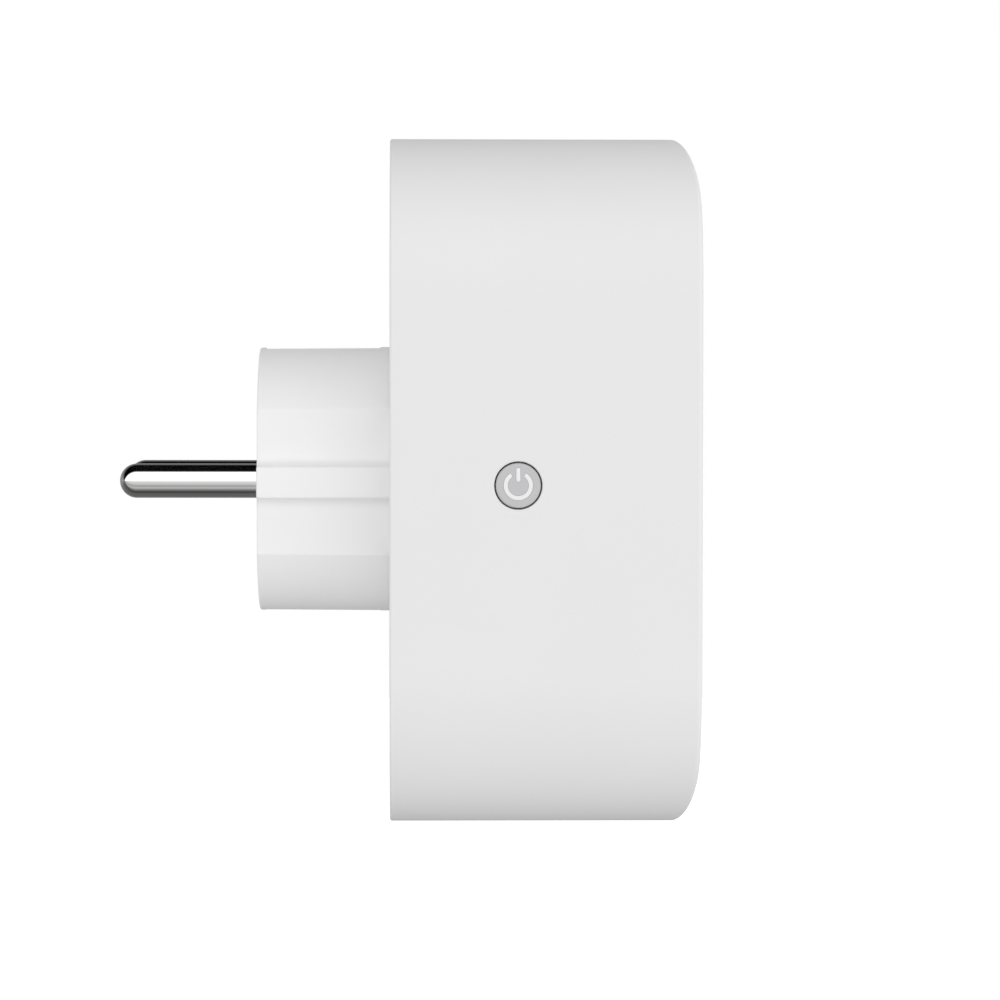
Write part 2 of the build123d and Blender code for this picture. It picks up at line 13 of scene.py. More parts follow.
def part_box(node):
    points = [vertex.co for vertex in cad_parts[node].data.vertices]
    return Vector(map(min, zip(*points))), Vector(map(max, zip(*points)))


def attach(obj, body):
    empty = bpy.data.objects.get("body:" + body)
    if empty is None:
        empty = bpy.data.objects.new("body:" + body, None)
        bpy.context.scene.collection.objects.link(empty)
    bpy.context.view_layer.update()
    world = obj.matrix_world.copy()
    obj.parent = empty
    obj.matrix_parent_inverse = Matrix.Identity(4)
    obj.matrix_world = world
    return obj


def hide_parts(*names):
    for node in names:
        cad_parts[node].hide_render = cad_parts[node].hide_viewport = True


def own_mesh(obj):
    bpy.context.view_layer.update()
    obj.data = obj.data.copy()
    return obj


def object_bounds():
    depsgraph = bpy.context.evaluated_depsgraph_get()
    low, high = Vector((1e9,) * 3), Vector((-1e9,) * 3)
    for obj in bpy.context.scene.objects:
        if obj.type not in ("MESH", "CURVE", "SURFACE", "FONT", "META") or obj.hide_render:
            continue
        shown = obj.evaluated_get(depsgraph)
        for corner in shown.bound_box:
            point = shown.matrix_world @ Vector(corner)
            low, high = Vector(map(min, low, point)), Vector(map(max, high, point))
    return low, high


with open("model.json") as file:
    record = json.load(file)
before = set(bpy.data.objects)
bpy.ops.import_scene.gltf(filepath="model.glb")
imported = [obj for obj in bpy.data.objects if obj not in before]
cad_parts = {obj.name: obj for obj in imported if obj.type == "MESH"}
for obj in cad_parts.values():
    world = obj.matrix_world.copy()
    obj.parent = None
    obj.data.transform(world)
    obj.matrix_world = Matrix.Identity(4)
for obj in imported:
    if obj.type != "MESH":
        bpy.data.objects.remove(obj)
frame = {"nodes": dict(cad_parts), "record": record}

bl_info = {
    "name": "Smart plug",
    "version": (1, 0, 0),
    "blender": (4, 5, 0),
    "location": "3D View > Sidebar > Smart plug",
    "description": "Builds the visible pieces, finishes and studio of a smart plug",
    "category": "Object",
}

MM = 0.001
CAD_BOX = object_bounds()
COVER_LOW, COVER_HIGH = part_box("front_cover")
PLUG_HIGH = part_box("plug_body")[1]
PIN_LOW, PIN_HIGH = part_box("pin_live")
DISH_LOW, DISH_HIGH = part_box("outlet_dish")
CAP_LOW, CAP_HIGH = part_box("button_cap")
BOARD_LOW, BOARD_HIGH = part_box("main_board")
SCREWS_LOW, SCREWS_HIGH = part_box("case_screws")
CLIP_LOW, CLIP_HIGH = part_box("plug_earth_clip")
OUTLET_CLIP_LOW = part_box("outlet_earth_clip")[0]

REAR_X = COVER_LOW.x                      # outer face of the rear cover
FRONT_X = COVER_HIGH.x
HALF_Y = COVER_HIGH.y
HALF_Z = COVER_HIGH.z
LEDGE_X = PLUG_HIGH.x - 1.6 * MM          # inner face of the rear cover
FLOOR_X = FRONT_X - 17.5 * MM             # floor of the outlet
SCREW_Y = 12.0 * MM
SCREW_Z = 40.5 * MM
BUTTON_X = (CAP_LOW.x + CAP_HIGH.x) / 2
PAST = 1 * MM                             # how far a cutting tool runs past the face it cuts
SCREW_SINK = 2.8 * MM                     # depth of the screws' seats below the rear face
WELL_R = 3.0 * MM
PLUG_FACE_T = 3.0 * MM                    # thickness of the plug's face, which holds the pins
PLUG_FLANGE_R = 21.2 * MM
PLUG_BORE_R = 15.5 * MM
PLUG_BORE_Y = 13.7 * MM                   # half of the bore's width between its two flats
PIN_NECK_R = 2.0 * MM
PIN_COLLAR_R = 3.6 * MM
RIB_REACH = 18.1 * MM
EARTH_HOLE_R = 2.6 * MM
EARTH_TURN = (16.2 * MM, 17.0 * MM)       # along X, the slots where the earth strips turn in
STRIP_GROOVE_Z = 17.55 * MM
LUG_AT = 16.1 * MM                        # plug screws, in Y and in Z
LUG_R = 3.0 * MM
LUG_BORE_R = 1.2 * MM
STRIP_WIDTH = 5 * MM
STRIP_T = 0.8 * MM
OUTLET_WALL = 1.65 * MM
OUTLET_SLOT_HALF = 3.1 * MM
CARRIER_SCREWS = (14.8 * MM, 9 * MM)
BUTTON_FLANGE_R = 4.1 * MM
BUTTON_COLLAR_R = 5.45 * MM
STEM_R = 1.5 * MM
CREASE = math.radians(32)                 # edges sharper than this stay sharp


def length(name, description, millimetres, low=0.0):
    """A distance that the user may change, with its default in millimetres."""
    return FloatProperty(name=name, description=description, default=millimetres * MM,
                         min=low * MM, subtype="DISTANCE", unit="LENGTH", precision=5)


def colour(name, description, red, green, blue):
    """A linear colour that the user may change."""
    return FloatVectorProperty(name=name, description=description, default=(red, green, blue),
                               size=3, min=0.0, max=1.0, subtype="COLOR")


def tilt(name, description, degrees):
    """An angle that the user may change, with its default in degrees."""
    return FloatProperty(name=name, description=description, default=math.radians(degrees),
                         subtype="ANGLE", unit="ROTATION")


class HousingSettings(bpy.types.PropertyGroup):
    corner: length("Corner radius", "Radius of the housing's corners seen from the front", 21.6)
    wall: length("Wall", "Thickness of the moulded wall", 2.2)
    rim: length("Rear rim", "Wall left beside the rear cover", 1.6)
    nose_depth: length("Nose depth", "How far the front rolls back at its two ends", 3.5)
    nose_rise: length("Nose rise", "Height over which the front rolls back", 10.6)
    front_edge: length("Front edge", "Radius between the wall and the front", 0.7)
    rear_edge: length("Rear edge", "Radius of the wall's rear edge", 0.35)
    seam: length("Seam", "Gap between moulded pieces", 0.15)
    tint: colour("Housing colour", "Colour of the housing's plastic", 0.82, 0.82, 0.82)


class PlugSettings(bpy.types.PropertyGroup):
    face_radius: length("Face radius", "Radius of the plug's body at its face", 18.6)
    root_radius: length("Root radius", "Radius of the plug's body at the housing", 18.72)
    flat: length("Flat", "Distance of the side flats from the middle", 15.7)
    rib_half: length("Half rib", "Half of the guide rib's width", 2.2)
    rib_root: length("Rib root", "Radius of the hollow where a rib meets its flat", 1.5)
    face_edge: length("Face edge", "Radius round the plug's face", 0.3)
    pin_radius: length("Pin radius", "Radius of the round pins", 2.4)
    pin_spread: length("Pin spread", "Distance of each pin from the middle", 9.5)
    earth_height: length("Earth height", "Height of the earth hole above the pins", 10.0)
    tint: colour("Plug colour", "Colour of the plug's plastic", 0.93, 0.93, 0.93)
    plating: colour("Plating", "Colour of the plated pins", 0.93, 0.93, 0.925)


class OutletSettings(bpy.types.PropertyGroup):
    radius: length("Outlet radius", "Radius of the outlet's recess", 19.75)
    mouth: length("Mouth", "Radius of the recess's edge", 0.9)
    hole: length("Pin hole", "Radius of the two pin holes", 2.75)
    guide_half: length("Half guide", "Half of the guides' width", 2.3)
    guide_reach: length("Guide reach", "Distance of the guides from the middle", 18.4)
    spring_wire: length("Spring wire", "Thickness of the shutter spring's wire", 0.44)
    spring_turns: IntProperty(name="Spring turns", description="Turns of the shutter's spring",
                              default=7, min=3, max=8)
    tint: colour("Outlet colour", "Colour of the outlet's plastic", 0.78, 0.78, 0.78)


class ButtonSettings(bpy.types.PropertyGroup):
    radius: length("Button radius", "Radius of the button", 3.05)
    ring: length("Ring", "Middle radius of the ring in the button's light window", 1.7)
    line: length("Line", "Width of the window's lines", 0.6)
    tint: colour("Button colour", "Colour of the button", 0.55, 0.55, 0.56)
    window: colour("Window colour", "Colour of the light window", 0.86, 0.86, 0.86)


class StageSettings(bpy.types.PropertyGroup):
    distance: length("Distance", "Distance of the camera from the point that it looks at", 584.8)
    lens: FloatProperty(name="Lens", description="Focal length of the camera", default=147.95,
                        unit="CAMERA")
    azimuth: tilt("Azimuth", "Turn of the camera round the object", -1.283)
    elevation: tilt("Elevation", "Angle of the camera above level", 2.052)
    roll: tilt("Roll", "Tilt of the camera about its own line of sight", 0.08)
    drop: length("Floor drop", "Distance of the floor below the object", 110.0)
    floor: colour("Floor colour", "Colour of the floor", 0.9, 0.9, 0.9)


# ---- curves ----
def eased(points, radii, steps=6, closed=False):
    """Straight lines through the points, whose corners are arcs that touch both lines. A corner of
    radius 0 stays one point. The arc's centre is on the corner's bisector, r / sin(half angle)
    away."""
    points = np.asarray(points, float)
    run = []
    for k, (corner, radius) in enumerate(zip(points, radii)):
        if radius == 0 or (not closed and k in (0, len(points) - 1)):
            run.append(corner[None])
            continue
        before = points[k - 1] - corner
        after = points[(k + 1) % len(points)] - corner
        before /= np.linalg.norm(before)
        after /= np.linalg.norm(after)
        half = math.acos(np.clip(before @ after, -1, 1)) / 2
        bisector = (before + after) / np.linalg.norm(before + after)
        centre = corner + bisector * radius / math.sin(half)
        start = corner + before * radius / math.tan(half) - centre
        end = corner + after * radius / math.tan(half) - centre
        run.append(centre + blend_directions(start, end, np.linspace(0, 1, steps)[:, None]))
    return np.concatenate(run)


def blend_directions(start, end, share):
    """Directions from start to end, mixed by share and stretched back to the length of start."""
    mixed = start * (1 - share) + end * share
    size = np.linalg.norm(np.broadcast_to(start, mixed.shape), axis=-1, keepdims=True)
    return mixed * size / np.linalg.norm(mixed, axis=-1, keepdims=True)


def rounded_rectangle(half_y, half_z, radius, corner_steps=28, long_steps=44, short_steps=14):
    """Ring of a rounded rectangle in Y and Z, as the centres of its corners and the directions out
    of them: an outline inset by d is centre + direction * (radius - d)."""
    centres, angles = [], []
    places = [(1, 1), (-1, 1), (-1, -1), (1, -1)]
    for k, (side_y, side_z) in enumerate(places):
        centre = np.array([side_y * (half_y - radius), side_z * (half_z - radius)])
        next_y, next_z = places[(k + 1) % 4]
        after = np.array([next_y * (half_y - radius), next_z * (half_z - radius)])
        turn = np.linspace(0, math.pi / 2, corner_steps) + k * math.pi / 2
        steps = short_steps if k % 2 == 0 else long_steps
        share = np.linspace(0, 1, steps + 2)[1:-1, None]
        centres += [np.tile(centre, (corner_steps, 1)), centre * (1 - share) + after * share]
        angles += [turn, np.full(steps, turn[-1])]
    angles = np.concatenate(angles)
    return np.concatenate(centres), np.stack([np.cos(angles), np.sin(angles)], -1)


def corners(y, z):
    """Four places about the middle, one in each quarter."""
    return [(y * side_y, z * side_z) for side_y in (-1, 1) for side_z in (-1, 1)]


def circle(radius, directions):
    """Points of a circle about the X axis, in the same directions as the ones given."""
    return directions * radius / np.linalg.norm(directions, axis=-1, keepdims=True)


def ring(x, places):
    """Row of a grid: places in Y and Z, at one x or an x for each."""
    return np.column_stack([np.broadcast_to(x, len(places)), places])


def inward_of(outline):
    """At each point of a closed outline, the direction square to it on its left, which is inwards
    where the outline runs counter-clockwise."""
    tangent = np.roll(outline, -1, 0) - np.roll(outline, 1, 0)
    inward = np.column_stack([-tangent[:, 1], tangent[:, 0]])
    return inward / np.linalg.norm(inward, axis=1, keepdims=True)


# ---- surfaces ----
def lofted(rows, wrap=False):
    """Surface through rows of points: row i and step j give point (i, j), each cell of the grid is a
    quad, every row closes on itself, and the last row joins the first when wrap is set. The
    signed volume under the quads says whether they face inwards, and then they are turned."""
    rows = np.stack(rows)
    count, steps, _ = rows.shape
    i = np.arange(count if wrap else count - 1)[:, None]
    j = np.arange(steps)[None, :]
    up, on = (i + 1) % count, (j + 1) % steps
    quads = np.stack([i * steps + j, i * steps + on, up * steps + on, up * steps + j], -1)
    quads = quads.reshape(-1, 4)
    points = rows.reshape(-1, 3)
    a, b, c, d = (points[quads[:, k]] for k in range(4))
    volume = np.einsum("ij,ij->i", a, np.cross(b, c) + np.cross(c, d)).sum()
    return points, quads if volume > 0 else quads[:, ::-1]


def capped(rows):
    """Surface through rows of points, whose first and last row close at their middle."""
    ends = [np.repeat(rows[k].mean(0)[None], rows.shape[1], 0) for k in (0, -1)]
    return lofted([ends[0], *rows, ends[1]])


AXES = {"X": (0, 1, 2), "Y": (1, 2, 0), "Z": (2, 0, 1)}


def turned(profile, centre, axis="X", steps=64, sides=0):
    """Surface of revolution: each (place along the axis, radius) of the profile is a circle. Where a
    third number is 1, the circle is a polygon of that many sides, radius times cos(pi / sides)
    over cos(angle from the middle of the nearest side)."""
    profile = np.asarray(profile, float)
    angle = np.linspace(0, 2 * math.pi, steps, endpoint=False)
    radius = np.repeat(profile[:, 1:2], steps, 1)
    if sides:
        half = math.pi / sides
        polygon = math.cos(half) / np.cos(np.mod(angle, 2 * half) - half)
        radius = np.where(profile[:, 2:3] > 0, radius * polygon, radius)
    along, first, second = AXES[axis]
    rows = np.empty((len(profile), steps, 3))
    rows[..., along] = profile[:, 0:1]
    rows[..., first] = radius * np.cos(angle) + centre[first]
    rows[..., second] = radius * np.sin(angle) + centre[second]
    return lofted(rows)


def rod(x0, x1, radius, y, z, steps=64, axis="X"):
    """Plain round bar, as a tool that cuts or fills other surfaces."""
    centre = {"X": (0, y, z), "Y": (y, 0, z)}[axis]
    return turned([(x0, 0), (x0, radius), (x1, radius), (x1, 0)], centre, axis, steps)


def extruded(outline, low, high, axis="X", edge=0.0, steps=4):
    """Outline carried along an axis, with both ends closed at their middle and their edges eased:
    at angle a round the edge the outline is inset by edge * (1 - sin a)."""
    outline = np.asarray(outline, float)
    middle = (outline.min(0) + outline.max(0)) / 2
    following = np.roll(outline, -1, 0)
    area = np.sum(outline[:, 0] * following[:, 1] - following[:, 0] * outline[:, 1])
    inward = inward_of(outline) * np.sign(area)
    turn = np.linspace(0, math.pi / 2, steps) if edge else np.array([math.pi / 2])
    inset = edge * (1 - np.sin(turn))
    depth = edge * (1 - np.cos(turn))
    pole = np.tile(middle, (len(outline), 1))
    flat = [(low, pole)]
    flat += [(low + d, outline + inward * s) for s, d in zip(inset, depth)]
    flat += [(high - d, outline + inward * s) for s, d in zip(inset[::-1], depth[::-1])]
    flat += [(high, pole)]
    along, first, second = AXES[axis]
    rows = np.empty((len(flat), len(outline), 3))
    for row, (place, points) in zip(rows, flat):
        row[:, along] = place
        row[:, (first, second)] = points
    return lofted(rows)


def swept_arc(radius, half, low, high, ends, edge):
    """Bar that follows an arc about the button's axis from one end angle to the other: at each
    angle stands a rectangle, half wide to each side of the radius and from low to high along Y,
    with its outer corners eased by edge, and both ends close at their middle."""
    ease = max(edge, 0.01 * MM)
    section = eased([(-half, low), (half, low), (half, high), (-half, high)],
                    [ease, ease, 0.01 * MM, 0.01 * MM], 4, closed=True)
    angle = np.linspace(*ends, 72)[:, None]
    rows = np.empty((len(angle), len(section), 3))
    rows[..., 0] = BUTTON_X + (radius + section[:, 0]) * np.cos(angle)
    rows[..., 1] = section[:, 1]
    rows[..., 2] = (radius + section[:, 0]) * np.sin(angle)
    return capped(rows)


def coil(radius, wire, turns, centre, low, high):
    """Round wire wound about a line along Z: at turn angle a its middle stands at radius times
    (cos a, sin a) and climbs evenly from low to high, with a circle about it that leans in
    towards the line and up, and both ends close at their middle."""
    angle = np.linspace(0, 2 * math.pi * turns, 28 * turns + 1)[:, None]
    around = np.linspace(0, 2 * math.pi, 12, endpoint=False)
    reach = radius + wire * np.cos(around)
    rows = np.empty((len(angle), len(around), 3))
    rows[..., 0] = centre[0] + reach * np.cos(angle)
    rows[..., 1] = centre[1] + reach * np.sin(angle)
    rows[..., 2] = low + (high - low) * angle / angle[-1] + wire * np.sin(around)
    return capped(rows)


def brick(x0, x1, y0, y1, z0, z1):
    """Plain block, as a tool that cuts other surfaces."""
    return extruded([(y0, z0), (y1, z0), (y1, z1), (y0, z1)], x0, x1)


def strip(path, width, thickness, y=0.0):
    """Sheet strip along a path in X and Z: at each point of the path stands a rounded rectangle,
    width along Y and thickness along the path's normal, and both ends close at their middle."""
    path = np.asarray(path, float)
    tangent = np.gradient(path, axis=0)
    tangent /= np.linalg.norm(tangent, axis=1, keepdims=True)
    normal = np.column_stack([-tangent[:, 1], tangent[:, 0]])
    corner = thickness * 0.3
    half = np.array([width, thickness]) / 2
    section = eased([half, half * (-1, 1), -half, half * (1, -1)], [corner] * 4, 5, closed=True)
    rows = np.empty((len(path), len(section), 3))
    rows[..., 0] = path[:, 0:1] + normal[:, 0:1] * section[:, 1]
    rows[..., 1] = section[:, 0] + y
    rows[..., 2] = path[:, 1:2] + normal[:, 1:2] * section[:, 1]
    return capped(rows)


# ---- pieces ----
def mesh_of(name, surfaces):
    """Mesh that holds the closed surfaces, with the points of each pole merged into one."""
    points, quads, first = [], [], 0
    for places, faces in surfaces:
        points.append(places)
        quads.append(faces + first)
        first += len(places)
    mesh = bpy.data.meshes.new(name)
    mesh.from_pydata(np.concatenate(points).tolist(), [], np.concatenate(quads).tolist())
    form = bmesh.new()
    form.from_mesh(mesh)
    bmesh.ops.remove_doubles(form, verts=form.verts, dist=1e-7)
    bmesh.ops.dissolve_degenerate(form, edges=form.edges, dist=1e-8)
    form.to_mesh(mesh)
    form.free()
    return mesh


def new_object(name, surfaces):
    """Object at the origin whose mesh holds the surfaces."""
    made = bpy.data.objects.new(name, mesh_of(name, surfaces))
    bpy.context.scene.collection.objects.link(made)
    return made


def worked(piece, tools):
    """Adds or takes away each tool's surfaces in turn, and keeps the result as the piece's mesh."""
    for operation, surfaces in tools:
        tool = new_object("tool", surfaces)
        step = piece.modifiers.new("tool", "BOOLEAN")
        step.operation, step.solver, step.object = operation, "EXACT", tool
        step.use_self = operation == "UNION"
        bpy.context.view_layer.update()
        done = bpy.data.meshes.new_from_object(
            piece.evaluated_get(bpy.context.evaluated_depsgraph_get()))
        piece.modifiers.clear()
        piece.data = done
        bpy.data.objects.remove(tool)
        if not len(piece.data.polygons):
            raise RuntimeError(f"{piece.name} was cut away altogether by {operation}")
    return piece


def finished(piece, body, slot, nodes):
    """Shades the piece smooth up to its creases, gives it its finish and hangs it on its body."""
    mesh = piece.data
    mesh.polygons.foreach_set("use_smooth", np.ones(len(mesh.polygons), bool))
    mesh.set_sharp_from_angle(angle=CREASE)
    even = piece.modifiers.new("even shading", "WEIGHTED_NORMAL")
    even.keep_sharp = True
    mesh.materials.clear()
    mesh.materials.append(FINISHES[slot])
    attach(piece, body)
    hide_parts(*nodes)
    return piece


# ---- shader groups ----
def placed(tree, kind, inputs=None, **settings):
    """Puts a node in a tree, sets it up, and fills or wires its inputs."""
    made = tree.nodes.new(kind)
    for name, value in settings.items():
        setattr(made, name, value)
    for name, value in (inputs or {}).items():
        if isinstance(value, bpy.types.NodeSocket):
            tree.links.new(value, made.inputs[name])
        else:
            made.inputs[name].default_value = value
    return made


def group(name, inputs, outputs):
    """Empty shader group with named number inputs and outputs, and its two end nodes."""
    tree = bpy.data.node_groups.new(name, "ShaderNodeTree")
    for label, value in inputs.items():
        socket = tree.interface.new_socket(label, in_out="INPUT", socket_type="NodeSocketFloat")
        socket.default_value = value
    for label in outputs:
        tree.interface.new_socket(label, in_out="OUTPUT", socket_type="NodeSocketFloat")
    return tree, tree.nodes.new("NodeGroupInput"), tree.nodes.new("NodeGroupOutput")


def object_place(tree):
    """The point's own place on the object."""
    return placed(tree, "ShaderNodeTexCoord").outputs["Object"]


def scaled(tree, value, low, high):
    """A value from 0 to 1, carried to the range low to high."""
    return placed(tree, "ShaderNodeMapRange", {"Value": value, "To Min": low, "To Max": high}
                  ).outputs["Result"]


def maths(tree, first, second, operation="MULTIPLY"):
    """Two numbers put together, by multiplying unless another way is named."""
    return placed(tree, "ShaderNodeMath", {0: first, 1: second}, operation=operation).outputs[0]


def noise(tree, place, scale, detail, roughness=0.5):
    """Soft noise over a place, from 0 to 1."""
    return placed(tree, "ShaderNodeTexNoise", {
        "Vector": place, "Scale": scale, "Detail": detail, "Roughness": roughness}).outputs["Fac"]


def stretched(tree, place, factors):
    """A place, made longer or shorter along each axis."""
    return placed(tree, "ShaderNodeVectorMath", {0: place, 1: factors},
                  operation="MULTIPLY").outputs[0]


def wired(tree, node, **sources):
    """Joins sources to a node's inputs. An underscore stands for a space in an input's name."""
    for name, source in sources.items():
        tree.links.new(source, node.inputs[name.replace("_", " ")])


def moulded_grain():
    """Fine pits of a moulding tool's spark-worn face, with slow drifts in tone over the piece."""
    tree, start, end = group("moulded_grain", {"Scale": 3600.0, "Drift": 60.0},
                             ["Height", "Tone", "Gloss"])
    place = object_place(tree)
    pits = noise(tree, place, start.outputs["Scale"], 3.0, 0.55)
    cells = placed(tree, "ShaderNodeTexVoronoi", {
        "Vector": place, "Scale": start.outputs["Scale"]}, feature="SMOOTH_F1")
    drift = noise(tree, place, start.outputs["Drift"], 2.0)
    height = maths(tree, pits, cells.outputs["Distance"], "ADD")
    tone = maths(tree, scaled(tree, pits, 0.0, 0.35), scaled(tree, drift, 0.0, 0.65), "ADD")
    wired(tree, end, Height=height, Tone=tone, Gloss=drift)
    return tree


def turned_lines():
    """Close rings that a cutting tool leaves round a bar that lies along X, each of its own depth,
    and long rubbed streaks along the bar."""
    tree, start, end = group("turned_lines", {"Pitch": 9000.0, "Streaks": 900.0}, ["Height", "Wear"])
    place = object_place(tree)
    rings = noise(tree, stretched(tree, place, (1.0, 0.02, 0.02)), start.outputs["Pitch"], 2.0)
    streaks = noise(tree, stretched(tree, place, (0.06, 1.0, 1.0)), start.outputs["Streaks"], 3.0)
    wired(tree, end, Height=rings, Wear=streaks)
    return tree


def handling_dust():
    """Soft patches where dust and finger marks sit, from 0 for clean to 1."""
    tree, start, end = group("handling_dust", {"Scale": 120.0, "Cover": 0.5}, ["Mask"])
    patches = noise(tree, object_place(tree), start.outputs["Scale"], 5.0, 0.7)
    edge = maths(tree, 1.0, start.outputs["Cover"], "SUBTRACT")
    mask = placed(tree, "ShaderNodeMapRange", {
        "Value": patches, "From Min": edge, "From Max": 1.0},
        interpolation_type="SMOOTHSTEP")
    wired(tree, end, Mask=mask.outputs["Result"])
    return tree


def rolled_sheet():
    """Faint drawn lines and stains of sheet metal and plating."""
    tree, start, end = group("rolled_sheet", {"Scale": 1500.0}, ["Height", "Stain"])
    place = object_place(tree)
    lines = noise(tree, stretched(tree, place, (0.05, 1.0, 0.4)), start.outputs["Scale"], 4.0)
    wired(tree, end, Height=lines, Stain=noise(tree, place, 260.0, 3.0))
    return tree


def printed_tracks():
    """Copper tracks and pads under a board's solder mask, as the lines between cells of two grids."""
    tree, start, end = group("printed_tracks", {"Scale": 300.0}, ["Track", "Pad"])
    place = object_place(tree)
    grid = {"Vector": place, "Scale": start.outputs["Scale"]}
    first, second = (placed(tree, "ShaderNodeTexVoronoi", grid, feature=feature,
                            distance="CHEBYCHEV").outputs["Distance"] for feature in ("F1", "F2"))
    gap = maths(tree, second, first, "SUBTRACT")
    wired(tree, end, Track=maths(tree, gap, 0.16, "LESS_THAN"),
          Pad=maths(tree, first, 0.17, "LESS_THAN"))
    return tree


# ---- materials ----
GROUPS = {}
FINISHES = {}


def mixed(tree, share, first, second):
    """Two colours, or a colour and a wired one, mixed by a share from 0 to 1."""
    node = placed(tree, "ShaderNodeMix", {"Factor": share}, data_type="RGBA")
    for index, value in ((6, first), (7, second)):
        if isinstance(value, bpy.types.NodeSocket):
            tree.links.new(value, node.inputs[index])
        else:
            node.inputs[index].default_value = (*value, 1.0)
    return node.outputs[2]


def shaded(tint, factor):
    """A colour made darker or lighter."""
    return tuple(min(1.0, part * factor) for part in tint)


def new_material(name, roughness=None, metallic=0.0, specular=0.5, coat=0.0):
    """Named finish with its Principled shader, and the numbers that are the same all over it."""
    material = FINISHES[name] = bpy.data.materials.new(name)
    material.use_nodes = True
    tree = material.node_tree
    shader = tree.nodes["Principled BSDF"]
    shader.inputs["Metallic"].default_value = metallic
    shader.inputs["Specular IOR Level"].default_value = specular
    shader.inputs["Coat Weight"].default_value = coat
    if roughness is not None:
        shader.inputs["Roughness"].default_value = roughness
    return tree, shader


def used(tree, name, **values):
    """One of the shared groups, with its own values in this material."""
    inputs = {key.replace("_", " ").capitalize(): value for key, value in values.items()}
    node = placed(tree, "ShaderNodeGroup", node_tree=GROUPS[name])
    for key, value in inputs.items():
        node.inputs[key].default_value = value
    return node


def bumped(tree, shader, height, distance, strength=1.0):
    """Small relief from a height, in metres."""
    bump = placed(tree, "ShaderNodeBump", {
        "Height": height, "Distance": distance, "Strength": strength})
    tree.links.new(bump.outputs["Normal"], shader.inputs["Normal"])


def plastic(name, tint, rough=(0.40, 0.50), grain=3600.0, depth=0.012, spread=0.02, dust=0.0,
            specular=0.5):
    """Moulded plastic: spark-worn grain as relief, a slow drift in tone and gloss, and a little
    dust where dust is above 0."""
    tree, shader = new_material(name, specular=specular)
    worn = used(tree, "moulded_grain", scale=grain)
    base = mixed(tree, worn.outputs["Tone"], shaded(tint, 1 - spread), shaded(tint, 1 + spread))
    if dust:
        marks = used(tree, "handling_dust", cover=0.52)
        share = maths(tree, marks.outputs["Mask"], dust)
        base = mixed(tree, share, base, shaded(tint, 0.82))
    wired(tree, shader, Base_Color=base, Roughness=scaled(tree, worn.outputs["Gloss"], *rough))
    bumped(tree, shader, worn.outputs["Height"], depth * MM, 0.6)


def plated(name, tint, rough=(0.10, 0.20), pitch=9000.0, depth=0.002):
    """Plated bar: turned rings as relief, and rubbed streaks in its colour and gloss."""
    tree, shader = new_material(name, metallic=1.0)
    lines = used(tree, "turned_lines", pitch=pitch)
    base = mixed(tree, lines.outputs["Wear"], shaded(tint, 0.94), shaded(tint, 1.03))
    wired(tree, shader, Base_Color=base, Roughness=scaled(tree, lines.outputs["Wear"], *rough))
    bumped(tree, shader, lines.outputs["Height"], depth * MM, 0.5)


def sheet_metal(name, tint, stain, rough=(0.22, 0.38), depth=0.004):
    """Stamped strip: drawn lines as relief, and stains in its colour."""
    tree, shader = new_material(name, metallic=1.0)
    sheet = used(tree, "rolled_sheet")
    base = mixed(tree, sheet.outputs["Stain"], tint, stain)
    wired(tree, shader, Base_Color=base, Roughness=scaled(tree, sheet.outputs["Stain"], *rough))
    bumped(tree, shader, sheet.outputs["Height"], depth * MM, 0.6)


def circuit_board(name, mask, copper):
    """Board: solder mask over raised copper tracks, with bare tinned pads."""
    tree, shader = new_material(name)
    tracks = used(tree, "printed_tracks")
    marks = used(tree, "handling_dust", cover=0.5)
    base = mixed(tree, tracks.outputs["Track"], mask, copper)
    base = mixed(tree, tracks.outputs["Pad"], base, (0.72, 0.72, 0.70))
    base = mixed(tree, maths(tree, marks.outputs["Mask"], 0.15), base, shaded(mask, 0.6))
    wired(tree, shader, Base_Color=base, Metallic=tracks.outputs["Pad"],
          Roughness=scaled(tree, marks.outputs["Mask"], 0.3, 0.55))
    height = maths(tree, tracks.outputs["Track"], tracks.outputs["Pad"], "ADD")
    bumped(tree, shader, height, 0.03 * MM)


